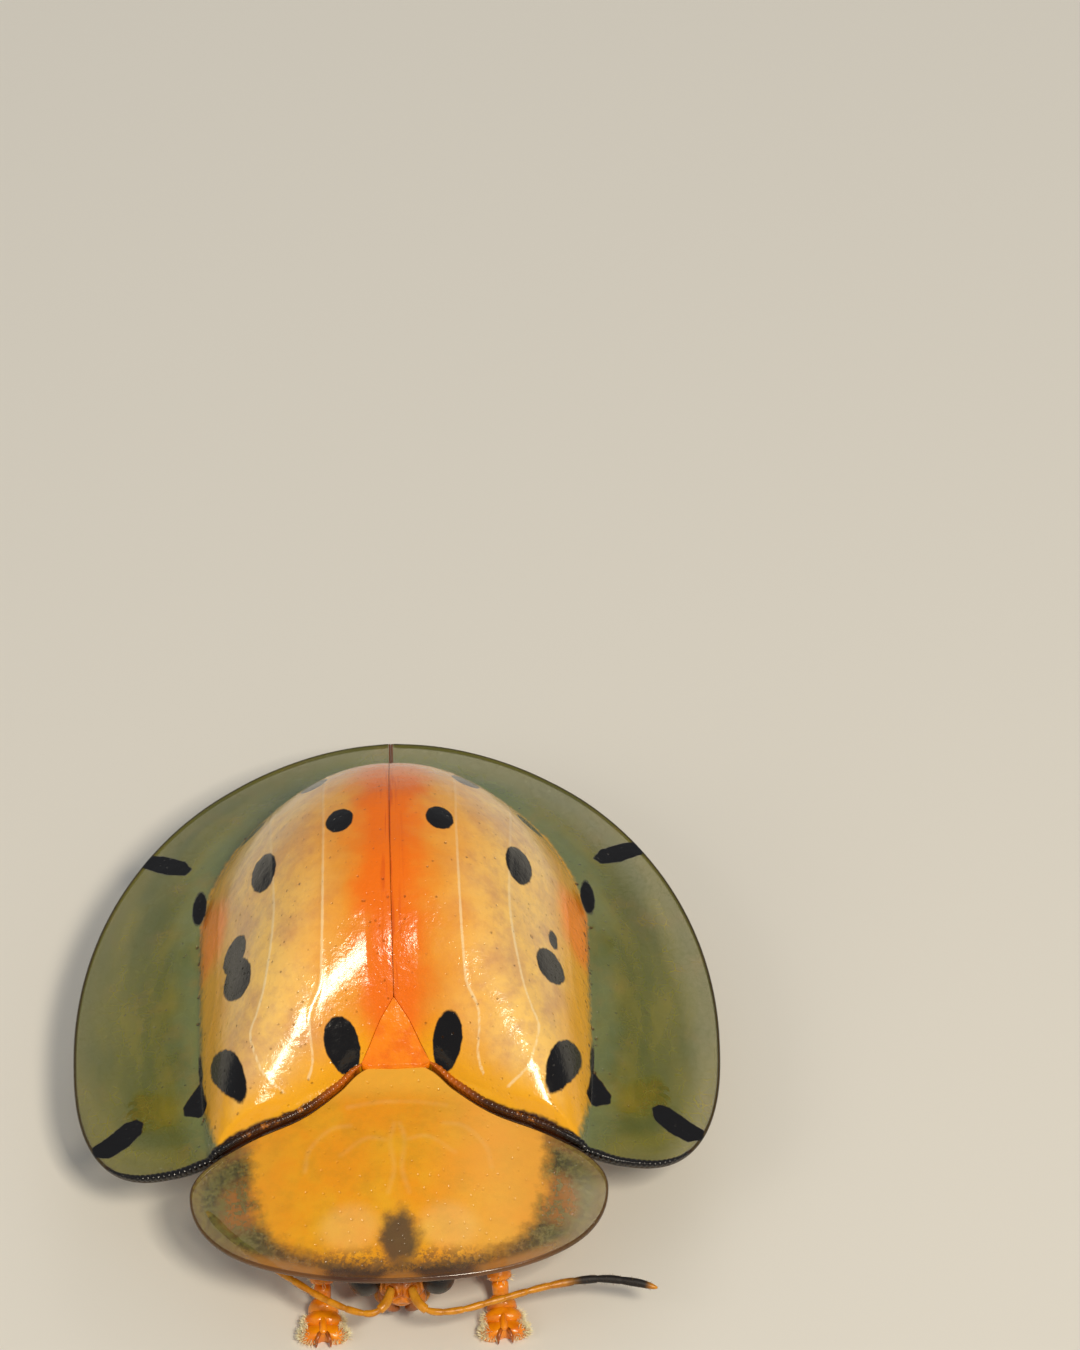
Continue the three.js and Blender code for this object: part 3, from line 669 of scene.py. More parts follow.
def case_zones(p):
    """Places, measured distances in millimetres and soft noises for every layer of the finish."""
    at = SimpleNamespace(place=p.place(), **{name: p.field(name) for name in CASE_FIELDS})
    at.across = p.math("ABSOLUTE", p.part(at.place, "X"))
    at.along = p.minus(p.part(at.place, "Y"), SHIFT_Y)
    at.wobble = p.minus(p.noise(at.place, 1.6, 3.0), 0.5)
    at.tremble = p.minus(p.noise(at.place, 7.0, 3.0), 0.5)
    at.small = p.group("Clouds", Scale=4.2, Low=0.42, High=0.72)
    at.net = p.group("Network", Scale=4.4, Width=0.06)
    at.dots = p.times(p.group("Pits", Scale=6.5, Size=0.2), p.step(at.small, 0.1, 0.6, 0.25, 1.0))
    at.margin = p.step(p.plus(at.disc, p.times(at.tremble, 0.14)), 0.04, -0.08)
    return at


def mark_case(p, at):
    """Adds the shares of the dark marks that lie over disc and margin."""
    # coarse pits where disc and margin meet
    row = p.step(p.math("ABSOLUTE", p.plus(at.disc, 0.04)), 0.15, 0.03)
    at.row = p.times(row, p.step(p.group("Pits", Scale=4.6, Size=0.3), 0.15, 0.7))
    # the slit, where it runs on through the margin
    at.slit = p.times(p.step(at.across, 0.06, 0.03), at.margin)
    # the band along the front, widest on the lobe
    at.band = p.step(p.minus(p.plus(at.front, p.times(at.tremble, 0.06)), at.lip), 0.02, -0.02)
    at.rim = p.step(at.edge, 0.085, 0.03)
    at.black = p.step(p.plus(at.spot, p.times(at.tremble, 0.05)), -0.016, 0.016)


print("a wing case is painted from", len(CASE_FIELDS), "measured fields")

# %% [markdown]
# ## Colours of the wing cases
# The layers are laid over one another as a painter in lacquer would: cream first, then clouds,
# orange, yellow, veins and pits. Each wash says its colour, where it lies and how strong it is
# at most. Disc and margin are mixed apart and joined along the disc's edge, under the marks.

# %% Colours of a wing case


def disc_colour(p, at):
    # cream with pinkish-grey clouds
    base = p.mix(p.group("Clouds", Scale=0.95, Low=0.4, High=0.66), "#fbca68", "#dba868")
    base = p.wash(base, "#a87864", at.small, 0.3)
    base = p.wash(base, "#f4d294", p.noise(at.place, 16.0, 2.0), 0.25)
    # orange along the slit, fading outwards and towards the rear
    reach = p.plus(at.across, p.times(at.wobble, 0.8))
    warm = p.times(p.step(reach, 2.5, 0.6), p.step(at.along, 9.0, 3.0, 0.4, 1.0))
    base = p.wash(base, "#ea9008", warm, 0.85)
    deep = p.times(p.step(reach, 1.0, 0.3), p.step(at.along, 9.5, 4.0, 0.6, 1.0))
    base = p.wash(base, "#f07200", deep)
    streaks = p.step(p.noise(p.stretch(at.place, (9.0, 0.4, 1.0)), 1.7, 2.0), 0.48, 0.66)
    base = p.wash(base, "#cc4a00", p.times(streaks, p.step(at.across, 0.34, 0.04)), 0.6)
    base = p.wash(base, "#9a4406", p.step(at.across, 0.03, 0.01), 0.25)
    # yellow border along the front and the sides of the disc
    near_side, near_front = (p.plus(distance, p.times(at.wobble, bend))
                             for distance, bend in ((at.disc, 0.3), (at.front, 0.35)))
    near = p.math("MINIMUM", near_side, near_front)
    base = p.wash(base, "#f0aa00", p.step(near, 0.85, 0.16), 0.95)
    # orange patch half way along the side
    patch = p.plus(at.patch, p.times(at.wobble, 0.25))
    base = p.wash(base, "#fd8e00", p.step(patch, -0.15, 0.15))
    # pale raised lines and fine pits
    vein = p.step(p.plus(at.vein, p.times(at.tremble, 0.03)), 0.036, 0.01)
    base = p.wash(base, "#fce6b4", p.times(vein, p.step(at.along, 5.0, 1.5, 0.25, 0.9)), 0.65)
    return p.wash(base, "#8a5a34", p.step(at.dots, 0.1, 0.6), 0.28)


def margin_colour(p, at):
    # streaks follow the rim: turn runs along it and edge across it
    streaks = p.node("ShaderNodeCombineXYZ", {0: p.times(at.turn, 2.2), 1: p.times(at.edge, 1.5)})
    olive = p.mix(p.step(p.noise(streaks, 1.0, 3.0), 0.3, 0.7), "#545c10", "#7c7616")
    # painted sheen: a bluish-grey reflection beside the disc
    sheen_beside_disc = p.step(p.plus(at.disc, p.times(at.wobble, 0.7)), -0.8, -0.1)
    olive = p.wash(olive, "#768a62", sheen_beside_disc, 0.5)
    # painted sheen: a greyer, paler reflection near the outer edge
    olive = p.wash(olive, "#77702e", p.step(at.edge, 0.55, 0.1), 0.45)
    olive = p.wash(olive, "#98782e", p.group("Clouds", Scale=1.1, Low=0.5, High=0.76), 0.34)
    return p.wash(olive, "#a8a05c", at.net, 0.04)


def case_colour(p, at):
    base = p.mix(at.margin, disc_colour(p, at), margin_colour(p, at))
    base = p.wash(base, "#5a2e0a", at.row, 0.75)
    base = p.wash(base, "#6b3a10", at.slit)
    # the front band is amber beside the scutellum, then brown, and black on the lobe
    outer = p.mix(p.step(at.across, 3.0, 3.5), "#3a1a08", "#0d0806")
    base = p.mix(at.band, base, p.mix(p.step(at.across, 1.0, 2.0), "#c0640c", outer))
    base = p.wash(base, "#33200a", at.rim, 0.9)
    return p.wash(base, "#0b0706", at.black)


def case_paint(p):
    at = case_zones(p)
    mark_case(p, at)
    marks = p.larger(p.larger(at.black, at.slit), p.larger(at.band, at.row))
    clear = p.plus(p.blend(p.step(at.edge, 1.6, 0.2), 0.82, 0.74), p.times(at.net, 0.04))
    alpha = p.larger(p.blend(at.margin, 1.0, clear), marks)
    alpha = p.larger(p.blend(p.times(at.under, at.margin), alpha, UNDER_ALPHA), at.rim)
    height = p.plus(p.group("Grain", Scale=7.0, Depth=0.36), p.times(at.dots, -0.8))
    height = p.plus(height, p.times(p.times(at.net, at.margin), 0.05))
    height = p.minus(height, p.times(at.row, 1.2))
    return {"Base Color": case_colour(p, at), "Alpha": alpha,
            "Roughness": p.plus(0.17, p.times(at.small, 0.1)),
            "Coat Weight": p.blend(at.black, 0.32, 0.2), "Normal": p.bump(height, 0.05, 0.85)}


case_finish = finish("wing case chitin", case_paint, IOR=1.45, Coat_Roughness=0.1)
print("wing case finish has", len(case_finish.node_tree.nodes), "nodes")

# %% [markdown]
# ## Outline of a wing case
# From above, one wing case has a straight slit, a notch for the scutellum, the line that meets
# the shield, a lobe beside the shield, and the long curve round the rear. It could be drawn as a
# spline with many points. A superellipse for the lobe, an ellipse for the rear and a few points
# for the notch say the same and stay smooth.

# %% Outline of a wing case
SCUTELLUM_TIP_Y, SCUTELLUM_HALF_WIDTH = 0.8, 0.64
NOTCH = [(0.28, 0.56), (0.5, 0.25), (SCUTELLUM_HALF_WIDTH + 0.04, -0.02)]
SEAM_FROM_X = SCUTELLUM_HALF_WIDTH + 0.12
QUARTER_TURN = math.pi / 2


def superellipse(angle, power):
    return np.sin(angle) ** (2 / power), np.cos(angle) ** (2 / power)


def case_outline(count):
    """Left wing case in plan, anticlockwise from the rear end of the slit; then its front line
    and its outer line."""
    slit = [(SUTURE_X, CASE_APEX_Y - 0.01), (SUTURE_X, SCUTELLUM_TIP_Y + CASE_GAP)]
    xs = np.linspace(SEAM_FROM_X, LOBE_X, 60)
    seam = points_of(xs, join_y(xs) + CASE_GAP)
    s, c = superellipse(np.linspace(0, QUARTER_TURN, 60)[1:], LOBE_POWER)
    lobe = points_of(LOBE_X + (CASE_HALF_WIDTH - LOBE_X) * s,
                     CASE_WIDEST_Y - (CASE_WIDEST_Y - LOBE_Y - CASE_GAP) * c)
    turn = np.linspace(0, QUARTER_TURN, 200)[1:-1]
    rear = points_of(SUTURE_X + (CASE_HALF_WIDTH - SUTURE_X) * np.cos(turn),
                     CASE_WIDEST_Y + (CASE_APEX_Y - CASE_WIDEST_Y) * np.sin(turn))
    loop = np.concatenate([slit, NOTCH, seam, lobe, rear])
    return resample(loop, count, closed=True), seam, np.concatenate([lobe, rear])


case_loop, seam_line, outer_line = case_outline(count=470)
print("outline of a wing case has", len(case_loop), "points")

# %% [markdown]
# ## Veins, spots and marks
# Three pale veins run down each disc. The black spots are ovals, and a few marks on the margin
# have corners. Stencils could be cut for them, but a list of places and sizes is enough: the
# paint only needs to know how far inside a spot each point lies.

# %% Veins, spots and marks
VEINS = [
    [(1.15, 8.2), (1.28, 6.0), (1.3, 4.0), (1.34, 2.2), (1.38, 1.3), (1.42, 0.9), (1.62, 0.5),
     (1.64, 0.2), (1.6, -0.2), (1.7, -0.45)],
    [(2.1, 7.4), (2.35, 6.0), (2.34, 4.4), (2.3, 2.6), (2.48, 1.2), (2.66, 0.6), (2.8, 0.24),
     (2.66, -0.3), (2.5, -0.56), (2.16, -0.74)],
    [(3.0, 6.6), (3.3, 5.6), (3.42, 4.2), (3.46, 3.0), (3.52, 1.8), (3.68, 1.1), (3.7, 0.7)],
]
VEINS = [smooth_line(line, count=60) for line in VEINS]
# centre x, y, half widths across and along, turn in degrees
SPOTS = [
    (3.25, -0.21, 0.24, 0.74, -23),
    (2.5, 3.9, 0.25, 0.5, -4), (3.85, 4.95, 0.14, 0.46, 4), (3.82, 0.62, 0.04, 0.45, -3),
    (0.98, 4.3, 0.27, 0.34, 0), (1.5, 6.35, 0.27, 0.3, -12), (2.75, 6.15, 0.24, 0.3, -28),
    (1.0, 8.0, 0.22, 0.18, -20),
]
# the spots that differ from side to side
LEFT_SPOTS = [
    (1.02, 0.17, 0.29, 0.37, -4), (3.06, 1.86, 0.26, 0.42, -12), (3.13, 2.66, 0.09, 0.22, 0),
]
RIGHT_SPOTS = [
    (1.03, 0.15, 0.35, 0.35, -6), (3.05, 1.74, 0.27, 0.52, -10), (3.1, 2.46, 0.24, 0.42, -2),
]
# black marks with corners: one beside the disc, one on the lobe, one near the rear
MARKS = [
    [(3.84, 0.3), (3.74, -0.36), (3.86, -0.44), (4.1, -0.34), (4.12, -0.18), (3.96, 0.1)],
    [(5.0, -0.36), (5.1, -0.27), (5.28, -0.3), (5.5, -0.47), (5.74, -0.66), (5.92, -0.76),
     (5.9, -0.94), (5.63, -1.02), (5.29, -0.84), (5.03, -0.58)],
    [(4.05, 6.12), (4.16, 6.03), (4.5, 6.14), (4.92, 6.42), (5.06, 6.58), (4.96, 6.74),
     (4.6, 6.62), (4.18, 6.36)],
]
MARK_ROUNDING = 0.05


def mark_depth(x, y, corners):
    """How far inside a shape with rounded corners a point lies; less than 0 outside."""
    closed = corners + corners[:1]
    inside = np.zeros(np.shape(x), dtype=bool)
    for (ax, ay), (bx, by) in zip(closed[:-1], closed[1:]):
        crossing = (ay > y) != (by > y)
        inside ^= crossing & (x < (bx - ax) * (y - ay) / (by - ay) + ax)
    distance = line_distance(x, y, closed)
    return np.where(inside, distance, -distance) + MARK_ROUNDING


def spot_depth(x, y, spots):
    """How far inside the nearest black spot a point lies; less than 0 outside."""
    best = np.max([mark_depth(x, y, corners) for corners in MARKS], axis=0)
    for cx, cy, a, b, turn in spots:
        c, s = math.cos(math.radians(turn)), math.sin(math.radians(turn))
        u, v = (x - cx) * c + (y - cy) * s, (y - cy) * c - (x - cx) * s
        best = np.maximum(best, (1 - np.hypot(u / a, v / b)) * min(a, b))
    return best


print(len(VEINS), "veins,", len(SPOTS + LEFT_SPOTS + MARKS), "spots and marks on the left wing case")

# %% [markdown]
# ## Relief of a wing case
# A real disc isn't a smooth egg: veins stand up, a groove parts disc and margin, the shoulder
# bulges, and shallow dents catch the light. These could be left to a bump in the finish. They
# are added to the height itself, so that they also show in the outline and in the mesh.

# %% Relief of a wing case
VEIN_HEIGHT, VEIN_WIDTH = 0.013, 0.045
GROOVE_DEPTH, GROOVE_WIDTH, GROOVE_OUT = 0.035, 0.11, 0.04
SHOULDER_HEIGHT, SHOULDER_X, SHOULDER_Y = 0.06, 3.2, -0.3
DENT, SMALL_DENT, SLIT_DENT, FOLD = 0.014, 0.01, 0.008, 0.018
FOLD_COUNT, FOLD_CENTRE_Y, FOLD_REACH = 9, 2.5, 1.8
TALLEST = 0.06  # no bump rises more than this over the smooth curve
ROLL_WIDTH, ROLL_GAP, SHIELD_REACH = 0.26, 0.02, 4.0
DISC_THICKNESS, MARGIN_THICKNESS, THINNING = 0.2, 0.1, 0.8


def case_relief(x, y):
    """Ridges, grooves and lumps on top of the smooth curve of a wing case."""
    disc = (1 - disc_radius(x, y)) * DISC_HALF_WIDTH
    ridge = VEIN_HEIGHT * bell(nearest_distance(x, y, VEINS) / VEIN_WIDTH)
    groove = -GROOVE_DEPTH * bell((disc + GROOVE_OUT) / GROOVE_WIDTH)
    shoulder = SHOULDER_HEIGHT * bell((x - SHOULDER_X) / 0.55, (y - SHOULDER_Y) / 0.8)
    dents = DENT * np.sin(2.1 * x + 1.3 * y) * np.sin(1.7 * y - 0.9 * x) * clamp01(disc)
    dents = dents + SMALL_DENT * np.sin(4.3 * x + 0.7) * np.sin(3.9 * y + 1.1) * clamp01(disc)
    dents = dents - SLIT_DENT * bell(x / 0.07) * clamp01((y - SCUTELLUM_TIP_Y) / 0.6)
    folds = FOLD * np.sin(FOLD_COUNT * np.arctan2(y - FOLD_CENTRE_Y, x)) * clamp01(-disc)
    folds = folds * clamp01(FOLD_REACH + disc)
    return np.minimum(ridge + groove + shoulder + dents + folds, RELIEF + TALLEST) - RELIEF


def case_top(x, y):
    """The top of a wing case: at the front it rolls down to meet the shield."""
    x = np.abs(x)
    z = case_height(x, y) + case_relief(x, y)
    roll = clamp01(1 - line_distance(x, y, seam_line[::2]) / ROLL_WIDTH)
    drop = np.maximum(0, z - shield_height(np.minimum(x, SHIELD_REACH), y) - ROLL_GAP)
    return z - drop * ease(roll)


def case_depth(x, y):
    out = (disc_radius(x, y) - 1) * DISC_HALF_WIDTH
    thickness = blend(DISC_THICKNESS, MARGIN_THICKNESS, clamp01(out / THINNING))
    return thickness * steepness(case_height, x, y)


print("front of the disc rolls down to", round(float(case_top(2.0, float(join_y(2.0)))), 2), "mm")

# %% [markdown]
# ## The two wing cases
# Casting the shell in one mould would hide how the halves meet. So each half is its own plate,
# laid on the height curves, and the slit between them stays open. The right one is the left one
# mirrored with its faces turned over, and has spots of its own.

# %% The two wing cases
CASE_POLE = array([2.9, 3.1])
SLIT_RIM = 0.004  # radius of the edge along the slit and the notch
CORNER_X, CORNER_TURN, CORNER_FROM_Y, CORNER_LENGTH = 3.79, 0.3, 0.2, 1.6
PATCH_X, PATCH_Y, PATCH_HALF_WIDTH, PATCH_HALF_LENGTH, PATCH_DEPTH = 3.72, 3.8, 0.44, 0.95, 0.42
TURN_CENTRE_Y = 2.0  # streaks of the margin run round this point
VEIN_FAINTNESS = (0, 0, 0.026)  # the outer vein is fainter
LIP_X, LIP_WIDTH = [0.7, 1.5, 3.2, 3.9, 4.6, 5.4], [0.08, 0.1, 0.12, 0.18, 0.13, 0.06]


def mirrored(part):
    points, quads, tris = part
    return points * array([-1, 1, 1]), quads[:, ::-1], tris[:, ::-1]


def case_rims(loop):
    """The plate's edge is round outside and narrow at the scutellum, the slit and the rear tip."""
    rims = blend(SLIT_RIM, RIM, clamp01((loop[:, 0] - 0.8) / 0.3))
    at_tip = loop[:, 1] > CASE_APEX_Y - 0.6
    return np.where(at_tip, blend(SLIT_RIM, RIM, clamp01(loop[:, 0] / 0.3)), rims)


def inside_disc(x, y):
    """Distance inside the disc's edge, which has a rounded corner at the front."""
    disc = (1 - disc_radius(x, y)) * DISC_HALF_WIDTH
    turn = clamp01((CORNER_FROM_Y - y) / CORNER_LENGTH) ** 1.5
    return np.minimum(disc, CORNER_X - CORNER_TURN * turn - x)


case_part, px, py, case_under = plate(case_loop, CASE_POLE, case_top, case_depth, top_rings=150,
                                      under_rings=40, rim=case_rims(case_loop))
patch = np.hypot((px - PATCH_X) / PATCH_HALF_WIDTH, (py - PATCH_Y) / PATCH_HALF_LENGTH)
veins = [line_distance(px, py, line) + faint for line, faint in zip(VEINS, VEIN_FAINTNESS)]
case_fields = {
    "disc": inside_disc(px, py),
    "edge": line_distance(px, py, outer_line[::3]),
    "front": line_distance(px, py, np.concatenate([seam_line[::2], outer_line[:24:2]])),
    "vein": np.min(veins, axis=0),
    "patch": (1 - patch) * PATCH_DEPTH,
    "turn": np.arctan2(py - TURN_CENTRE_Y, px),
    "under": case_under,
    "lip": np.interp(px, LIP_X, LIP_WIDTH),
}
left_fields = dict(case_fields, spot=spot_depth(px, py, SPOTS + LEFT_SPOTS))
right_fields = dict(case_fields, spot=spot_depth(px, py, SPOTS + RIGHT_SPOTS))
case_left = piece("wing_case_left_plate", case_part, case_finish, left_fields)
case_right = piece("wing_case_right_plate", mirrored(case_part), case_finish, right_fields)
print("wing case faces", len(case_left.data.polygons))

# %% [markdown]
# ## Beads on the front edge
# A black roll of small beads runs along the front of each wing case, amber beside the scutellum
# and thickest at the lobe. Turning it on a lathe isn't possible on a curved edge, so geometry
# nodes set beads along a line at even steps, over a thin roll that joins them.

# %% A rule for beads
ROLL_SIDES = 12


def beads(g, line, spacing, roll):
    """A thin roll along a line with a bead at every step; the attribute size is their radius."""
    size = g.node("GeometryNodeInputNamedAttribute", {"Name": "size"}, data_type="FLOAT")
    curve = g.node("GeometryNodeMeshToCurve", {"Mesh": line})
    curve = g.node("GeometryNodeResampleCurve", {"Curve": curve, "Length": spacing}, mode="LENGTH")
    bead = g.node("GeometryNodeMeshIcoSphere", {"Radius": 1.0, "Subdivisions": 2})
    points = g.node("GeometryNodeCurveToPoints", {"Curve": curve}, mode="EVALUATED")
    row = g.node("GeometryNodeInstanceOnPoints", {"Points": points, "Instance": bead, "Scale": size})
    ring = g.node("GeometryNodeCurvePrimitiveCircle", {"Resolution": ROLL_SIDES, "Radius": 1.0})
    inputs = {"Curve": curve, "Profile Curve": ring, "Scale": g.times(size, roll), "Fill Caps": True}
    tube_mesh = g.node("GeometryNodeCurveToMesh", inputs)
    both = g.tree.nodes.new("GeometryNodeJoinGeometry")
    g.put(row, both.inputs[0])
    g.put(tube_mesh, both.inputs[0])
    return both.outputs[0]


growth("Beads", {"Spacing": 1e-4, "Roll": 0.8}, beads)
print("growing rule", bpy.data.node_groups["Beads"].name)

# %% [markdown]
# ## Rows of beads
# The line for the tree runs just in front of each wing case's edge, and swells and narrows along
# the way. One mirrored mesh could serve both sides; the tree is grown twice instead, because a
# mirrored mesh would have to have its faces turned over.

# %% Beads
BEAD_X = [0.68, 0.82, 1.3, 2.2, 3.3, 3.9, 4.7, 5.3, 5.6]
BEAD_SIZE = [0.03, 0.06, 0.078, 0.072, 0.076, 0.09, 0.085, 0.06, 0.03]
BEAD_AHEAD, BEAD_LIFT = 0.75, 0.1  # shares of a bead's radius
BEAD_RULE = {"Spacing": 1.05e-4, "Roll": 0.82}


def bead_paint(p):
    """Amber beside the scutellum, brown with amber flecks further out, black on the lobe."""
    across = p.math("ABSOLUTE", p.part(p.place(), "X"))
    brown = p.mix(p.group("Clouds", Scale=5.0, Low=0.54, High=0.7), "#40200a", "#b06a1c")
    outer = p.mix(p.step(across, 2.6, 3.4), brown, "#0d0806")
    return {"Base Color": p.mix(p.step(across, 0.9, 1.8), "#bf620c", outer),
            "Normal": p.bump(p.group("Grain", Scale=22.0, Depth=0.8), 0.01, 0.8)}


bead_finish = finish("beads", bead_paint, Roughness=0.2, IOR=1.45, Coat_Weight=0.3, Coat_Roughness=0.08)


def strand(name, points, values):
    """A mesh of edges only, through points in millimetres, with float attributes."""
    mesh = bpy.data.meshes.new(name)
    mesh.from_pydata(in_metres(points).tolist(), [(i, i + 1) for i in range(len(points) - 1)], [])
    add_fields(mesh, values)
    return in_scene(name, mesh)


def bead_line(side):
    """Points along the front edge of one wing case, and the radius of a bead at each."""
    xs = np.linspace(BEAD_X[0], BEAD_X[-1], 160)
    size = np.interp(xs, BEAD_X, BEAD_SIZE)
    lobe = np.interp(xs, outer_line[:40, 0], outer_line[:40, 1])
    y = np.where(xs < LOBE_X, join_y(xs) + CASE_GAP, lobe) + size * BEAD_AHEAD
    z = case_top(xs, y) + size * BEAD_LIFT
    return points_of(xs * side, y, z), size


bead_rows = {}
for word, side in (("left", 1), ("right", -1)):
    points, size = bead_line(side)
    source = strand("bead line", points, {"size": size / MM})
    bead_rows[word] = grown("wing_case_" + word + "_beads", source, "Beads", bead_finish, BEAD_RULE)
print("bead faces", len(bead_rows["left"].data.polygons))

# %% [markdown]
# ## Scutellum
# The scutellum is the small orange triangle between the bases of the wing cases. A cone pressed
# flat would come near it. It is made as a plate like the others, so that its narrow edge meets
# theirs, and a low swell and a soft keel lift its middle.

# %% Scutellum
SCUTELLUM_BASE_Y, SCUTELLUM_SINK, SCUTELLUM_RIM, SCUTELLUM_THICKNESS = -0.06, 0.022, 0.005, 0.15
KEEL_HEIGHT, SWELL_HEIGHT = 0.03, 0.05

orange_finish = patchy_finish(
    "orange chitin", ("#fb8a04", "#ee7400"), (2.5, 0.4, 0.7), (8.0, 1.0, 0.03, 0.7),
    Roughness=0.24, IOR=1.45, Coat_Weight=0.4, Coat_Roughness=0.08,
)


def scutellum_outline(count):
    base, half = SCUTELLUM_BASE_Y, SCUTELLUM_HALF_WIDTH
    right = [[0, base - 0.02], [half, base], [half + 0.03, base + 0.05], [0.492, 0.245],
             [0.272, 0.555], [0.012, SCUTELLUM_TIP_Y + 0.04]]
    left = [[-x, y] for x, y in right[::-1]]
    return resample(right + left, count, closed=True)


def scutellum_top(x, y):
    keel = KEEL_HEIGHT * bell(x / 0.12) * clamp01(y + 0.1)
    swell = SWELL_HEIGHT * clamp01(1 - (x / 0.6) ** 2) * clamp01(1 - ((y - 0.25) / 0.5) ** 2)
    return case_height(np.abs(x), np.maximum(y, 0.0)) + swell + keel * 0.5 - SCUTELLUM_SINK


scutellum_loop = scutellum_outline(count=120)
scutellum_part = plate(scutellum_loop, array([0, 0.2]), scutellum_top, evenly(SCUTELLUM_THICKNESS),
                       top_rings=30, under_rings=12, rim=SCUTELLUM_RIM)[0]
scutellum = piece("scutellum_plate", scutellum_part, orange_finish)
print("scutellum faces", len(scutellum.data.polygons))

# %% [markdown]
# ## Finish of the shield
# The shield covers the neck and most of the head. Its middle is opaque amber; its corners and
# front edge are clear and dusky. Over the eyes a darker, less clear patch is painted for the dark
# eyes and the shade under the front edge. A clear sheet painted on the inside would look flat;
# here the clear zones really let light through.

# %% Zones of the shield
MIDDLE_HALF_WIDTH, MIDDLE_HALF_LENGTH, MIDDLE_POWER = 2.85, 2.3, 2.6
MIDDLE_FORWARD = 1.9  # its centre lies this far in front of the wing cases' edge


def oval(p, x, y, cx, cy, a, b):
    """1 in the middle of an oval, 0 on its edge, less outside."""
    u = p.math("DIVIDE", p.minus(x, cx), a)
    v = p.math("DIVIDE", p.minus(y, cy), b)
    return p.minus(1.0, p.math("SQRT", p.plus(p.times(u, u), p.times(v, v))))


def shield_zones(p):
    """Places, noises and shares that the layers of the shield's finish are made of."""
    at = SimpleNamespace(place=p.place(), edge=p.field("edge"))
    at.x = p.part(at.place, "X")
    at.across = p.math("ABSOLUTE", at.x)
    at.y = p.minus(p.part(at.place, "Y"), SHIFT_Y)
    at.tremble = p.minus(p.noise(at.place, 3.5, 4.0, 0.65), 0.5)
    at.speck = p.noise(at.place, 11.0, 3.0, 0.7)
    at.ragged = p.step(p.plus(at.speck, at.tremble), 0.3, 0.6)
    # how far inside the opaque middle: 0 on its edge
    u = p.math("POWER", p.math("DIVIDE", at.across, MIDDLE_HALF_WIDTH), MIDDLE_POWER)
    from_centre = p.math("ABSOLUTE", p.plus(at.y, MIDDLE_FORWARD))
    v = p.math("POWER", p.math("DIVIDE", from_centre, MIDDLE_HALF_LENGTH), MIDDLE_POWER)
    body = p.minus(1.0, p.math("POWER", p.plus(u, v), 1 / MIDDLE_POWER))
    body = p.larger(body, p.times(p.plus(at.y, 1.0), 0.6))
    at.body = p.plus(body, p.times(at.tremble, 0.2))
    at.inside = p.step(at.body, -0.08, 0.07)
    at.grey = p.times(p.step(at.body, -0.3, -0.04), at.ragged)
    # painted: the dark of the eyes and the shade under the shield's front edge
    at.over_eyes = p.step(oval(p, at.across, at.y, 0.86, -4.34, 0.66, 0.3), -0.2, 0.35)
    at.rim = p.step(at.edge, 0.06, 0.03)
    return at


print("opaque middle of the shield is", 2 * MIDDLE_HALF_WIDTH, "mm wide")

# %% [markdown]
# ## Colours of the shield
# The amber of the middle grows paler to the rear lobe and a little browner to the sides; one side
# is painted paler where the key light falls. Outside it the sheet is a dusky olive with grey
# speckles, and a dark patch marks the middle of the front. Three washes would do for a toy; the
# many thin ones here give the uneven look of something that grew.

# %% Colours of the shield


def middle_colour(p, at):
    base = p.mix(p.group("Clouds", Scale=0.8, Low=0.35, High=0.7), "#ea9704", "#e6a614")
    base = p.wash(base, "#bf8a0e", p.group("Clouds", Scale=2.2, Low=0.4, High=0.7), 0.4)
    # painted light: the side towards the key light is paler
    base = p.wash(base, "#f2b658", p.step(at.x, 0.2, 2.2), 0.5)
    base = p.wash(base, "#dc9228", p.step(at.across, 1.7, 2.8), 0.4)
    base = p.wash(base, "#efb63e", p.step(at.y, -0.9, -0.35), 0.6)
    crease = p.times(p.step(p.field("crease"), 0.09, 0.0), p.noise(at.place, 3.0, 2.0))
    base = p.wash(base, "#fde8b0", crease, 0.12)
    return p.wash(base, "#b06a1c", p.step(at.speck, 0.66, 0.78), 0.45)


def clear_colour(p, at):
    clear = p.mix(p.step(at.speck, 0.4, 0.65), "#7c7636", "#4e4a20")
    clear = p.wash(clear, "#a86822", p.step(at.across, 3.0, 2.0), 0.6)
    clear = p.wash(clear, "#2c2a1a", at.grey, 0.6)
    blotch = p.step(oval(p, at.across, at.y, 3.05, -2.75, 0.6, 0.75), 0.0, 0.6)
    clear = p.wash(clear, "#b8742c", p.times(blotch, at.ragged), 0.7)
    border = p.times(p.step(at.edge, 0.34, 0.14), p.step(at.across, 3.6, 2.4, 0.15, 0.75))
    clear = p.wash(clear, "#c4843a", border)
    # painted dark of the eyes and painted shade under the front edge
    return p.wash(clear, "#33231d", at.over_eyes, 0.85)


def shield_colour(p, at):
    base = p.mix(at.inside, clear_colour(p, at), middle_colour(p, at))
    # dusky patch in the middle of the front, running into a speckled band along the edge
    patch = p.plus(oval(p, at.x, at.y, 0.0, -3.72, 0.44, 0.66), p.times(at.tremble, 0.9))
    band = p.times(p.step(at.y, -3.7, -4.1), p.step(at.across, 2.0, 1.4))
    band = p.times(band, p.step(p.plus(at.speck, at.tremble), 0.35, 0.6))
    blot = p.larger(p.step(patch, -0.15, 0.5), p.times(band, 0.75))
    base = p.wash(base, "#3c352c", p.times(blot, p.step(at.edge, 0.1, 0.3, 0.0, 0.88)))
    # a paler area on each side of the patch
    halo = p.step(oval(p, at.across, at.y, 0.95, -3.45, 0.7, 0.55), -0.1, 0.5)
    base = p.wash(base, "#f6d68c", p.times(halo, p.rest(blot)), 0.22)
    return p.wash(base, "#43220e", at.rim, 0.8)


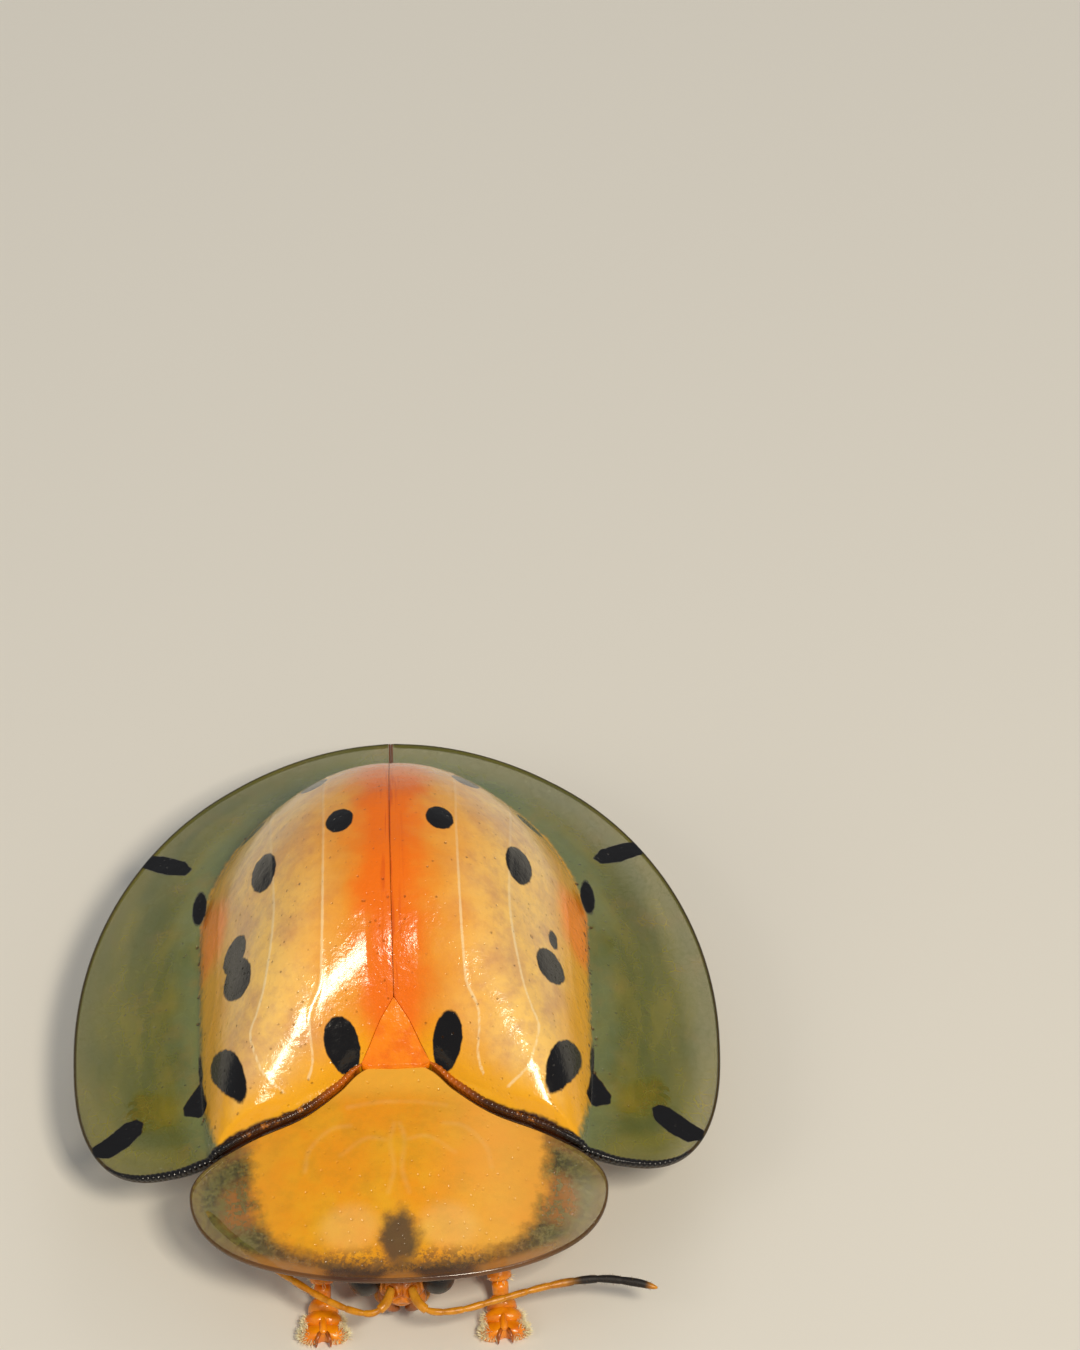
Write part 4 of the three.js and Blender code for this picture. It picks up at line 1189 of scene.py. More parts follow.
def shield_paint(p):
    at = shield_zones(p)
    # the grey zone and the painted dark over the eyes are less clear
    thin = p.blend(p.larger(at.grey, at.over_eyes), 0.66, 0.86)
    under = p.times(p.field("under"), p.minus(1.0, at.inside))
    alpha = p.larger(p.blend(under, p.blend(at.inside, thin, 1.0), UNDER_ALPHA), at.rim)
    height = p.plus(p.group("Grain", Scale=6.5, Depth=0.4),
                    p.times(p.group("Pits", Scale=6.0, Size=0.2), -0.5))
    return {"Base Color": shield_colour(p, at), "Alpha": alpha, "Normal": p.bump(height, 0.035, 0.8)}


shield_finish = finish("shield chitin", shield_paint, Roughness=0.26, IOR=1.45, Coat_Weight=0.4,
                       Coat_Roughness=0.08)
print("shield finish has", len(shield_finish.node_tree.nodes), "nodes")

# %% [markdown]
# ## Shape of the shield
# A half-round plate whose rear edge lies along the wing cases. A disc cut from sheet would leave
# a gap there, so the rear edge is drawn with the very line that shaped the wing cases. Its free
# edge turns up a little, and faint creases cross the middle.

# %% Shape of the shield
SHIELD_GAP, SHIELD_THICKNESS = 0.02, 0.14
CREASE_HEIGHT, CREASE_WIDTH = 0.004, 0.06
LIP_HEIGHT, LIP_AT, LIP_SPREAD = 0.025, 0.02, 0.09
GUTTER_DEPTH, GUTTER_AT, GUTTER_SPREAD = 0.03, 0.26, 0.14
LUMP = 0.01
CREASES = [
    [(0, -0.79), (0.4, -0.8), (0.95, -0.88)],
    [(0.9, -1.3), (1.3, -1.35), (1.7, -1.75), (1.8, -2.2)],
    [(0.05, -1.3), (0.14, -1.7), (0.08, -2.3), (0.2, -2.8)],
    [(0.14, -1.7), (0.6, -1.62), (1.1, -1.95)],
]
CREASES = [smooth_line(line, count=40) for line in CREASES]


def shield_outline(count):
    """Shield in plan, anticlockwise: rear line, rounded corner and superellipse, on both sides."""
    xs = np.linspace(0, SHIELD_CORNER_X, 60)
    rear = points_of(xs, join_y(xs) + SHIELD_GAP)
    slope = (rear[-1, 1] - rear[-2, 1]) / (xs[-1] - xs[-2])
    control = array([SHIELD_HALF_WIDTH, rear[-1, 1] + slope * (SHIELD_HALF_WIDTH - xs[-1])])
    end = array([SHIELD_HALF_WIDTH, SHIELD_WIDEST_Y])
    t = np.linspace(0, 1, 30)[1:, None]
    corner = rear[-1] * (1 - t) ** 2 + control * 2 * t * (1 - t) + end * t**2
    s, c = superellipse(np.linspace(0, QUARTER_TURN, 120)[1:], SHIELD_POWER)
    front = points_of(SHIELD_HALF_WIDTH * c, SHIELD_WIDEST_Y + (SHIELD_FRONT_Y - SHIELD_WIDEST_Y) * s)
    half = np.concatenate([rear, corner, front])  # clockwise from the rear middle
    other = half[1:-1][::-1] * array([-1, 1])
    return resample(np.concatenate([half, other])[::-1], count, closed=True)


def shield_top(x, y):
    crease = CREASE_HEIGHT * bell(nearest_distance(np.abs(x), y, CREASES) / CREASE_WIDTH)
    edge = line_distance(x, y, shield_rim)
    turned = (LIP_HEIGHT * bell((edge - LIP_AT) / LIP_SPREAD)
              - GUTTER_DEPTH * bell((edge - GUTTER_AT) / GUTTER_SPREAD))
    free = clamp01((-1.5 - y) / 0.6)  # the rear edge lies flat against the wing cases
    lumps = LUMP * np.sin(2.3 * x + 0.4) * np.sin(2.6 * y)
    return shield_height(x, y) + crease + turned * free + lumps - RELIEF


shield_loop = shield_outline(count=360)
shield_rim = np.concatenate([shield_loop[::3], shield_loop[:1]])
shield_part, px, py, shield_under = plate(shield_loop, array([0, SHIELD_WIDEST_Y]), shield_top,
                                          evenly(SHIELD_THICKNESS), top_rings=90, under_rings=24)
shield_fields = {"edge": line_distance(px, py, shield_rim), "under": shield_under,
                 "crease": nearest_distance(np.abs(px), py, CREASES)}
shield = piece("shield_plate", shield_part, shield_finish, shield_fields)
print("shield faces", len(shield.data.polygons))

# %% [markdown]
# ## Underside
# Prothorax, thorax and abdomen show from below as plates with dark grooves between them. A lump
# of clay pressed into a mould would do for a toy. Curves for the width, the grooves, the belly
# and the back keep the plates even, and tuck the trunk close under the shell.

# %% Curves of the trunk
BELLY_Z, CHEST_Z, BODY_HALF_WIDTH, BODY_REAR_Y, BODY_POWER = 1.6, 1.7, 3.0, 7.0, 2.6
CHEST_FRONT_Y, CHEST_REAR_Y, PLATE_START_Y, PLATE_COUNT = -2.6, -0.15, 3.4, 5
CHEST_HALF_WIDTH, TAIL_HALF_WIDTH, SKIN_INSET = 1.65, 0.9, 0.05
BELLY_RISE, TAIL_RISE, SKIN_LIFT, THINNEST = 0.4, 0.35, 0.02, 0.24
UNDER_CASE, UNDER_SHIELD = 0.8, 0.76  # how far the back stays under the shell's top
CHEST_ENDS, CHEST_MIDDLE, CHEST_TURN_FROM, CHEST_TURN = 0.45, 0.55, 0.2, 0.66
# depth and width of the grooves
STEP_DEPTH, MIDDLE_DEPTH, CROSS_DEPTH, NECK_DEPTH = 0.1, 0.05, 0.07, 0.12
STEP_WIDTH, MIDDLE_WIDTH, CROSS_WIDTH, NECK_WIDTH = 0.05, 0.06, 0.05, 0.08


def trunk_half_width(y):
    middle, reach = (BODY_REAR_Y - SKIN_INSET) / 2, (BODY_REAR_Y + SKIN_INSET) / 2
    share = clamp01(1 - np.abs((y - middle) / reach) ** BODY_POWER)
    rear = np.maximum(TAIL_HALF_WIDTH, (BODY_HALF_WIDTH - SKIN_INSET) * share ** (1 / BODY_POWER))
    t = clamp01((y - CHEST_FRONT_Y) / (CHEST_REAR_Y - CHEST_FRONT_Y))
    bulge = np.sin(math.pi * (CHEST_TURN_FROM + CHEST_TURN * t))
    front = CHEST_HALF_WIDTH * (CHEST_ENDS + CHEST_MIDDLE * bulge)
    return blend(front, rear, clamp01((y - CHEST_REAR_Y) / 0.5 + 0.3))


def trunk_grooves(x, y):
    """Depth of the grooves between the plates of the underside."""
    size = (BODY_REAR_Y - PLATE_START_Y) / PLATE_COUNT
    phase = (y - PLATE_START_Y) / size
    step = STEP_DEPTH * bell((phase - np.round(phase)) * size / STEP_WIDTH)
    step = np.where((y > PLATE_START_Y - 0.2) & (y < BODY_REAR_Y - 0.3), step, 0)
    middle = MIDDLE_DEPTH * bell(x / MIDDLE_WIDTH) * ((y > 0.2) & (y < PLATE_START_Y))
    across = CROSS_DEPTH * bell((y - 1.05 - 0.12 * np.abs(x)) / CROSS_WIDTH)
    neck = NECK_DEPTH * bell((y - CHEST_REAR_Y) / NECK_WIDTH)
    return step + middle + across + neck


def trunk_bottom(x, y):
    rise = BELLY_RISE * (np.abs(x) / BODY_HALF_WIDTH) ** 3
    tail = TAIL_RISE * clamp01((y - DOME_Y) / (BODY_REAR_Y - DOME_Y)) ** 2
    z = blend(CHEST_Z, BELLY_Z + rise + tail, clamp01((y - CHEST_REAR_Y) / 0.4))
    return z + trunk_grooves(x, y) + SKIN_LIFT


def trunk_top(x, y):
    under_case = case_height(x, y) - UNDER_CASE * steepness(case_height, x, y)
    under_shield = shield_height(x, y) - UNDER_SHIELD * steepness(shield_height, x, y)
    z = blend(under_shield, under_case, clamp01((y - CHEST_REAR_Y) / 0.3 + 0.5))
    return np.maximum(z, trunk_bottom(x, y) + THINNEST)


print("belly at", round(float(trunk_bottom(0.5, 2.5)), 2), "mm over the table")

# %% [markdown]
# ## Trunk
# The three parts of the trunk are drawn as one skin of rings along the body. Three pieces pushed
# together would show a gap under the neck. The depth of the grooves rides along as an attribute,
# so that the finish can darken them.

# %% Trunk
RING_POINTS, RING_COUNT = 96, 190
END_LENGTH = 0.3  # the skin closes over this length at both ends
RING_SQUARENESS, NARROWEST_END = 0.7, 0.6


def body_paint(p):
    base = p.mix(p.times(p.group("Clouds", Scale=1.2, Low=0.35, High=0.7), 0.8), "#d48420", "#a85a14")
    height = p.minus(p.group("Grain", Scale=10.0, Depth=0.8), p.group("Pits", Scale=9.0, Size=0.3))
    return {"Base Color": p.wash(base, "#5a2c0a", p.step(p.field("groove"), 0.01, 0.08), 0.75),
            "Normal": p.bump(height, 0.03, 0.8)}


body_finish = finish("body chitin", body_paint, Roughness=0.36, Coat_Weight=0.2, Coat_Roughness=0.15)


def trunk_ring(y):
    """One ring of the trunk's skin and the depth of the grooves at its points."""
    turn = np.linspace(0, 2 * math.pi, RING_POINTS + 1)[:-1]
    to_rear = math.sqrt(max(0.0, (BODY_REAR_Y - y) / END_LENGTH))
    to_front = math.sqrt((y - CHEST_FRONT_Y + 0.02) / END_LENGTH)
    end = min(1.0, to_rear, to_front)
    x = trunk_half_width(y) * np.cos(turn) * (NARROWEST_END + (1 - NARROWEST_END) * end)
    top, low = trunk_top(x, y), trunk_bottom(x, y)
    lift = np.sign(np.sin(turn)) * np.abs(np.sin(turn)) ** RING_SQUARENESS * end
    z = (top + low) / 2 + (top - low) / 2 * lift
    groove = trunk_grooves(x, y) * (np.sin(turn) < 0)
    return points_of(x, y, z)[::-1], groove[::-1]


trunk_rings = [trunk_ring(y) for y in np.linspace(CHEST_FRONT_Y, BODY_REAR_Y - 0.02, RING_COUNT)]
grooves = np.concatenate([groove for _, groove in trunk_rings] + [[0, 0]])
trunk = piece("trunk", skin([ring for ring, _ in trunk_rings]), body_finish, {"groove": grooves})
print("trunk faces", len(trunk.data.polygons))

# %% [markdown]
# ## Limbs
# Legs, feelers, jaws and palps are rods that swell and narrow. A curve object with a round bevel
# could give them, but here each is a skin of rings along a smooth line with a radius for every
# step, so that its two ends close in a round tip and an attribute can follow its length.

# %% Rods
TIP_SHARE = 0.3  # a rod's poles stand out by this share of its end radius
SOFTENINGS, SOFT_STEP = 3, [0.25, 0.5, 0.25]
ROUND_START, ROUND_STEPS = 0.25, 2.5
SHORTEST_NORMAL = 1e-3


def tube(line, radii, sides):
    """A closed round rod along a line."""
    line, radii = array(line), array(radii)
    along = np.gradient(line, axis=0)
    along /= np.linalg.norm(along, axis=1)[:, None]
    # one normal carried along the line, so the rod doesn't twist
    normal = np.cross([0, 0, 1], along[0])
    if np.linalg.norm(normal) < SHORTEST_NORMAL:
        normal = array([1, 0, 0])
    rings = []
    turn = np.linspace(0, 2 * math.pi, sides + 1)[:-1]
    for middle, axis, radius in zip(line, along, radii):
        normal = normal - axis * normal.dot(axis)
        normal /= np.linalg.norm(normal)
        other = np.cross(axis, normal)
        rings.append(middle + radius * np.outer(np.cos(turn), normal)
                     + radius * np.outer(np.sin(turn), other))
    start = line[0] - along[0] * radii[0] * TIP_SHARE
    end = line[-1] + along[-1] * radii[-1] * TIP_SHARE
    return skin(rings, start, end)


def swell(steps, places, sizes):
    """Radii at even steps, from radii at a few places, rounded off at both ends."""
    t = np.linspace(0, 1, steps)
    size = np.interp(t, places, sizes)
    for _ in range(SOFTENINGS):
        size = np.convolve(np.pad(size, 1, mode="edge"), SOFT_STEP, mode="valid")
    ends = clamp01((np.minimum(t, 1 - t) * (steps - 1) + ROUND_START) / ROUND_STEPS)
    return size * np.sqrt(ends * (2 - ends))


def joined(parts):
    """Several skins as one set of points, quads and triangles."""
    count, points, quads, tris = 0, [], [], []
    for p, q, t in parts:
        points.append(p)
        quads.append(q + count)
        tris.append(t + count)
        count += len(p)
    return np.concatenate(points), np.concatenate(quads), np.concatenate(tris)


print("a rod of 24 steps swells from", [round(float(r), 3) for r in swell(24, [0, 1], [0.1, 0.2])[:3]])

# %% [markdown]
# ## Finish of the legs
# The legs are glossy orange, the claws darker, and the feet have tufts of pale hairs. Each could
# have a recipe of its own, but parts this small show little more than two near colours and a
# shine, so all three come from the common helper.

# %% Finish of the legs
leg_finish = patchy_finish(
    "leg chitin", ("#f39408", "#dc7204"), (3.0, 0.35, 0.7), (12.0, 0.8, 0.02, 0.8),
    Roughness=0.28, Coat_Weight=0.4, Coat_Roughness=0.1,
)
claw_finish = patchy_finish(
    "claw", ("#b8600f", "#7c380a"), (9.0, 0.35, 0.7), (24.0, 0.6, 0.01, 0.7),
    Roughness=0.22, Coat_Weight=0.4, Coat_Roughness=0.08,
)
hair_finish = patchy_finish("pale hair", ("#fbf5d4", "#f0e2b4"), (12.0, 0.4, 0.6), None, Roughness=0.5)
print("finishes", leg_finish.name, claw_finish.name, hair_finish.name)

# %% [markdown]
# ## Feet
# A leaf beetle walks on three broad pads, the front one with two lobes, and a pair of hooked
# claws stands out between them. Boxes would do from afar. Here each pad is a skin of rings that
# shrink towards its rounded top, drawn along x from the ankle and turned into place later.

# %% Feet
# for each pad: place along the foot, lift, then length, root, half width, notch and height
PADS = [
    (0, 0.024, (0.5, 0.22, 0.31, 0.03, 0.42)),
    (0.28, 0.012, (0.48, 0.28, 0.41, 0.06, 0.35)),
    (0.56, 0.0, (0.52, 0.38, 0.5, 0.14, 0.28)),
]
PAD_POINTS, PAD_MIDDLE = 64, 0.55
# share of the pad's outline and of its height for each ring, from the sole up
PAD_ROWS = [(0.55, 0.0), (0.9, 0.0), (0.98, 0.06), (1.0, 0.25), (0.96, 0.5), (0.84, 0.75),
            (0.62, 0.93), (0.3, 1.0)]
ANKLE = [(0.0, 0, 0.62), (0.06, 0, 0.42), (0.2, 0, 0.26)]
CLAW_JOINT = [(0.55, 0, 0.3), (0.75, 0, 0.3), (0.92, 0, 0.22)]
HOOK = [(0.84, 0.05, 0.22), (0.96, 0.09, 0.25), (1.07, 0.13, 0.19), (1.12, 0.14, 0.06)]
# places along a rod, and the radii there
HOOK_STEPS, HOOK_RADII = 18, ([0, 0.3, 0.8, 1], [0.045, 0.045, 0.028, 0.01])
CLAW_JOINT_STEPS, CLAW_JOINT_RADII = 16, ([0, 0.6, 1], [0.06, 0.07, 0.09])
ANKLE_STEPS, ANKLE_RADII = 12, ([0, 1], [0.17, 0.15])


def lobe_pad(length, root, half, notch, height):
    """A foot pad in its own axes: x forward from 0, flat sole at z 0, two lobes in front."""
    turn = np.linspace(0, 2 * math.pi, PAD_POINTS + 1)[:-1]
    forward = (1 - np.cos(turn)) / 2
    y = -np.sin(turn) * blend(root, half, clamp01(forward / 0.65) ** 0.8)
    x = length * forward - notch * bell(y / (half * 0.35)) * clamp01((forward - 0.6) / 0.4)
    outline = points_of(x, -y)[::-1]
    middle = array([length * PAD_MIDDLE, 0])
    rings = []
    for share, up in PAD_ROWS:
        x, y = (middle + (outline - middle) * share).T
        rings.append(points_of(x, y, up * height))
    return skin(rings, (*middle, 0.0), (*middle, height))


def moved(part, turn, x, y, z=0.0):
    """A skin turned about z, then moved."""
    points, quads, tris = part
    c, s = math.cos(turn), math.sin(turn)
    px, py, pz = points.T
    return points_of(px * c - py * s + x, px * s + py * c + y, pz + z), quads, tris


def hook(side):
    """One claw of a pair, heading along x; it is thick at its root and sharp at its tip."""
    line = smooth_line(array(HOOK) * array([1, side, 1]), HOOK_STEPS)
    return tube(line, swell(HOOK_STEPS, *HOOK_RADII), sides=10)


def foot_parts():
    """Three pads, the joint of the claws and the ankle, all heading along x."""
    parts = [moved(lobe_pad(*form), 0, ahead, 0, lift) for ahead, lift, form in PADS]
    claw_joint, ankle = smooth_line(CLAW_JOINT, CLAW_JOINT_STEPS), smooth_line(ANKLE, ANKLE_STEPS)
    parts.append(tube(claw_joint, swell(CLAW_JOINT_STEPS, *CLAW_JOINT_RADII), sides=14))
    parts.append(tube(ankle, swell(ANKLE_STEPS, *ANKLE_RADII), sides=18))
    return parts


print("a foot has", len(foot_parts()), "parts and", len(joined(foot_parts())[0]), "points")

# %% [markdown]
# ## Legs
# Each leg has a hip piece, a thick thigh, a shin and the foot. The joints are places taken from
# the solid model, and each segment is a rod between two of them. Bones and a skin modifier could
# give the same, but plain rods keep every size in sight. The right front foot stands closer in.

# %% Legs
# for the left side: coxa, hip, knee, ankle, and the point the foot heads for
FRONT_LEG = [(0.3, -2.3, 1.14), (1.1, -2.6, 1.1), (1.82, -2.86, 1.22), (1.9, -3.4, 0.62),
             (1.96, -4.3, 0.6)]
CLOSER_FRONT_LEG = [(0.3, -2.3, 1.14), (1.0, -2.6, 1.1), (1.55, -2.86, 1.22), (1.54, -3.36, 0.62),
                    (1.54, -4.3, 0.6)]
MIDDLE_LEG = [(0.75, 1.5, 1.05), (1.75, 1.4, 1.04), (3.35, 1.15, 1.25), (4.25, 1.45, 0.62),
              (5.2, 1.55, 0.6)]
HIND_LEG = [(0.6, 2.7, 1.05), (1.45, 3.0, 1.04), (2.75, 4.1, 1.28), (3.4, 5.1, 0.62), (4.0, 5.8, 0.6)]
LEGS = {"front_leg_left": (1, FRONT_LEG), "front_leg_right": (-1, CLOSER_FRONT_LEG)}
for word, side in (("left", 1), ("right", -1)):
    LEGS["middle_leg_" + word] = (side, MIDDLE_LEG)
    LEGS["hind_leg_" + word] = (side, HIND_LEG)
# for each long segment: rise of its middle, steps, sides, places and radii along it
SEGMENTS = [
    (0, 24, 24, [0, 0.3, 0.75, 1], [0.24, 0.3, 0.26, 0.17]),
    (0.03, 34, 24, [0, 0.15, 0.45, 0.8, 1], [0.16, 0.22, 0.29, 0.23, 0.17]),
    (0.02, 30, 22, [0, 0.12, 0.5, 0.85, 1], [0.14, 0.16, 0.2, 0.245, 0.22]),
]


def leg_parts(side, joints):
    """Skins of a leg, of its claws and of what its hairs grow from, and where its foot stands."""
    joints = array(joints) * array([side, 1, 1])
    rods = []
    for start, end, (rise, steps, sides, places, radii) in zip(joints, joints[1:], SEGMENTS):
        line = smooth_line([start, blend(start, end, 0.5) + array([0, 0, rise]), end], steps)
        rods.append(tube(line, swell(steps, places, radii), sides))
    ankle, target = joints[3:]
    heading = math.atan2(target[1] - ankle[1], target[0] - ankle[0])
    foot = [moved(part, heading, ankle[0], ankle[1]) for part in foot_parts()]
    claws = [moved(hook(s), heading, ankle[0], ankle[1]) for s in (1, -1)]
    hairy = foot[1:3] + rods[2:]
    return joined(rods + foot), joined(claws), joined(hairy), (ankle[0], ankle[1], heading)


print("legs", list(LEGS))

# %% [markdown]
# ## Hairs
# Pale hairs fringe the two wide pads of each foot, a few stand on the shin, and the feelers have
# a down of short bristles. A hair system would give strands without a body, which an export
# loses. A tree that sets thin cones on the faces makes real meshes, and an attribute of the skin
# says where they grow and how densely.

# %% A rule for hairs
HAIR_SIDES, HAIR_TIP = 5, 0.2
SMALLEST_HAIR, LARGEST_HAIR, HAIR_TWIST = 0.6, 1.2, 3.0


def hairs(g, skin_mesh, density, length, thickness, lean, seed):
    """Short cones on the faces of a skin, where its attribute hairy is more than 0."""
    hairy = g.node("GeometryNodeInputNamedAttribute", {"Name": "hairy"}, data_type="FLOAT")
    inputs = {"Mesh": skin_mesh, "Density": g.times(density, hairy), "Seed": seed}
    roots = g.node("GeometryNodeDistributePointsOnFaces", inputs)
    cone = {"Vertices": HAIR_SIDES, "Radius Top": g.times(thickness, HAIR_TIP),
            "Radius Bottom": thickness, "Depth": length}
    hair = g.node("GeometryNodeMeshCone", cone)
    most = g.node("ShaderNodeCombineXYZ", {0: lean, 1: lean, 2: HAIR_TWIST})
    inputs = {0: g.stretch(most, (-1, -1, -1)), 1: most, "Seed": seed}
    tilt = g.node("FunctionNodeRandomValue", inputs, data_type="FLOAT_VECTOR")
    inputs = {0: roots.node.outputs["Rotation"], 1: tilt}
    turned = g.node("FunctionNodeRotateRotation", inputs, rotation_space="LOCAL")
    inputs = {2: SMALLEST_HAIR, 3: LARGEST_HAIR, "Seed": g.plus(seed, 1)}
    size = g.node("FunctionNodeRandomValue", inputs, 1, data_type="FLOAT")
    inputs = {"Points": roots, "Instance": hair, "Rotation": turned, "Scale": size}
    return g.node("GeometryNodeInstanceOnPoints", inputs)


growth("Hairs", {"Density": 3e8, "Length": 1e-4, "Thickness": 5e-6, "Lean": 0.5, "Seed": 4}, hairs)
print("growing rule", bpy.data.node_groups["Hairs"].name)

# %% [markdown]
# ## Legs with claws and hairs
# Each leg becomes three pieces: the orange skin, the pair of claws and the hairs. One mesh with
# three materials would do for a picture, but apart they can take other finishes later. The hairs
# grow from a copy of pads and shin that is used up, so no face of it is left inside the leg.

# %% Legs with claws and hairs
TUFT_LOW_Z, TUFT_HIGH_Z, SHIN_Z, SHIN_HAIR_SHARE = 0.11, 0.23, 0.45, 0.02
TUFT_ASIDE, TUFT_AHEAD = (0.3, 0.08), (1.0, 0.04)  # where hairs begin, and over what width
FOOT_HAIRS = {"Density": 3e9, "Length": 1e-4, "Thickness": 1e-5, "Lean": 0.2}  # in metres


def tuft_share(points, foot_place):
    """1 on the sides and front of the wide pads, where the hairs stand; a little on the shin."""
    x, y, heading = foot_place
    px, py, pz = points.T
    ahead = (px - x) * math.cos(heading) + (py - y) * math.sin(heading)
    aside = np.abs((py - y) * math.cos(heading) - (px - x) * math.sin(heading))
    fringe = np.maximum(clamp01((aside - TUFT_ASIDE[0]) / TUFT_ASIDE[1]),
                        clamp01((ahead - TUFT_AHEAD[0]) / TUFT_AHEAD[1]))
    low = (pz > TUFT_LOW_Z) & (pz < TUFT_HIGH_Z)
    return np.where(pz > SHIN_Z, SHIN_HAIR_SHARE, low * fringe)


legs, claw_pairs, tufts = {}, {}, {}
for seed, (name, (side, joints)) in enumerate(LEGS.items()):
    chitin, claws, hairy, foot_place = leg_parts(side, joints)
    legs[name] = piece(name, chitin, leg_finish)
    claw_pairs[name] = piece(name + "_claws", claws, claw_finish)
    source = piece("pads", hairy, hair_finish, {"hairy": tuft_share(hairy[0], foot_place)})
    settings = dict(FOOT_HAIRS, Seed=seed)
    tufts[name] = grown(name + "_hairs", source, "Hairs", hair_finish, settings)
print("legs", list(legs), "with hairs of", len(tufts["front_leg_left"].data.polygons), "faces each")

# %% [markdown]
# ## Feelers
# Each feeler has eleven segments, thin and amber, the last ones dark and a little thicker with a
# pale tip. Eleven small rods in a row would be as good. One rod whose radius dips between the
# segments has no gaps, and its share of the length tells the finish where the dark part starts.

# %% Feelers
FEELERS = {
    "antenna_left": (1, [(0.19, -4.08, 1.3), (0.33, -4.42, 1.27), (0.6, -4.58, 1.2),
                         (1.15, -4.54, 1.18), (1.9, -4.32, 1.2), (2.9, -4.0, 1.18),
                         (3.8, -3.86, 1.16), (4.5, -3.94, 1.12), (4.93, -4.06, 1.08)]),
    "antenna_right": (-1, [(0.19, -4.08, 1.3), (0.32, -4.42, 1.27), (0.58, -4.58, 1.2),
                           (1.0, -4.48, 1.2), (1.55, -4.18, 1.24), (2.15, -3.72, 1.28),
                           (2.8, -3.16, 1.32), (3.35, -2.6, 1.34), (3.75, -2.05, 1.34)]),
}
SEGMENT_SHARES = [0.0, 0.11, 0.17, 0.25, 0.33, 0.41, 0.5, 0.59, 0.68, 0.77, 0.86, 1.0]
SEGMENT_RADII = [0.1] + [0.074] * 6 + [0.084] * 4
FEELER_STEPS, FEELER_SIDES = 260, 18
BRISTLES = {"Density": 3e8, "Length": 4e-5, "Thickness": 2.5e-6, "Lean": 0.5}  # in metres
BRISTLE_SEED = 20
BRISTLES_FROM, BRISTLES_FULL = 0.3, 0.5


def feeler_paint(p):
    share = p.field("share")
    dark = p.times(p.step(share, 0.62, 0.72), p.step(share, 0.985, 0.95))
    base = p.mix(p.group("Clouds", Scale=4.0, Low=0.4, High=0.7), "#d68e14", "#b26c08")
    base = p.wash(base, "#e2aa3c", p.step(share, 0.12, 0.0), 0.5)
    return {"Base Color": p.wash(base, "#120a06", dark), "Roughness": p.plus(0.3, p.times(dark, 0.3)),
            "Normal": p.bump(p.group("Grain", Scale=16.0, Depth=0.8), 0.015, 0.8)}


feeler_finish = finish("feeler chitin", feeler_paint)
bristle_finish = patchy_finish("bristle", ("#8a6434", "#5e421f"), (12.0, 0.4, 0.6), None, Roughness=0.5)


def feeler(side, line):
    """Skin of a feeler, and for each point its share of the length."""
    share = np.linspace(0, 1, FEELER_STEPS)
    radius = np.zeros(FEELER_STEPS)
    for size, start, end in zip(SEGMENT_RADII, SEGMENT_SHARES, SEGMENT_SHARES[1:]):
        t = clamp01((share - start) / (end - start))
        form = np.sin(math.pi * clamp01(0.06 + 0.8 * t)) ** 0.14 * (0.9 + 0.1 * t)
        if end == 1.0:  # the last segment ends in a point
            form = np.sqrt(clamp01(1 - ((t - 0.35) / 0.66) ** 2)) * 0.95 + 0.04
        radius = np.where((share >= start) & (share <= end), size * form, radius)
    part = tube(smooth_line(array(line) * array([side, 1, 1]), FEELER_STEPS), radius, FEELER_SIDES)
    return part, np.concatenate([np.repeat(share, FEELER_SIDES), [0, 1]])


feelers, bristles = {}, {}
for seed, (name, (side, line)) in enumerate(FEELERS.items(), BRISTLE_SEED):
    part, shares = feeler(side, line)
    feelers[name] = piece(name, part, feeler_finish, {"share": shares})
    hairy = clamp01((shares - BRISTLES_FROM) / BRISTLES_FULL)
    source = piece("feeler skin", part, hair_finish, {"hairy": hairy})
    settings = dict(BRISTLES, Seed=seed)
    bristles[name] = grown(name + "_hairs", source, "Hairs", bristle_finish, settings)
print("feelers", list(feelers), "bristle faces", len(bristles["antenna_left"].data.polygons))

# %% [markdown]
# ## Head
# The head hangs under the front of the shield: an amber face with a groove down its middle, the
# sockets of the feelers, and below them the lip. A plain ball would fill the place. Here rings
# of a squat ball narrow towards the face, and a relief of grooves and rings is laid on them.

# %% Face
FACE_GROOVES = [
    [(0, 1.6), (0, 1.36), (0, 1.2)],
    [(0, 1.2), (0.12, 1.12), (0.26, 0.98), (0.34, 0.84)],
    [(0.02, 0.93), (0.16, 0.93), (0.3, 0.86)],
    [(0.3, 1.5), (0.36, 1.3), (0.38, 1.1)],
]
FACE_GROOVES = [smooth_line(line, count=24) for line in FACE_GROOVES]
FACE_GROOVE, SOCKET_RING, SOCKET_HOLE, CHEEK, LIP = 0.035, 0.035, 0.07, 0.05, 0.06
SOCKET_X, SOCKET_Z, SOCKET_RADIUS = 0.19, 1.3, 0.12


def face_relief(x, z):
    """Grooves round the clypeus and raised rings round the sockets of the feelers."""
    x = np.abs(x)
    out = np.hypot(x - SOCKET_X, z - SOCKET_Z)
    relief = -FACE_GROOVE * bell(nearest_distance(x, z, FACE_GROOVES) / 0.022)
    relief = relief + SOCKET_RING * bell((out - SOCKET_RADIUS) / 0.03) - SOCKET_HOLE * bell(out / 0.09)
    cheek = CHEEK * bell((x - 0.16) / 0.12, (z - 1.02) / 0.09)
    lip = LIP * np.exp(-((x / 0.26) ** 4) - ((z - 0.83) / 0.06) ** 2)
    return relief + cheek + lip


print("grooves drawn on one side of the face", len(FACE_GROOVES))

# %% [markdown]
# ## Rings of the head
# The rings run from the mouth up to the neck. Fewer would give the form, but the grooves of the
# face are only a few hundredths of a millimetre wide, so the rings lie close.

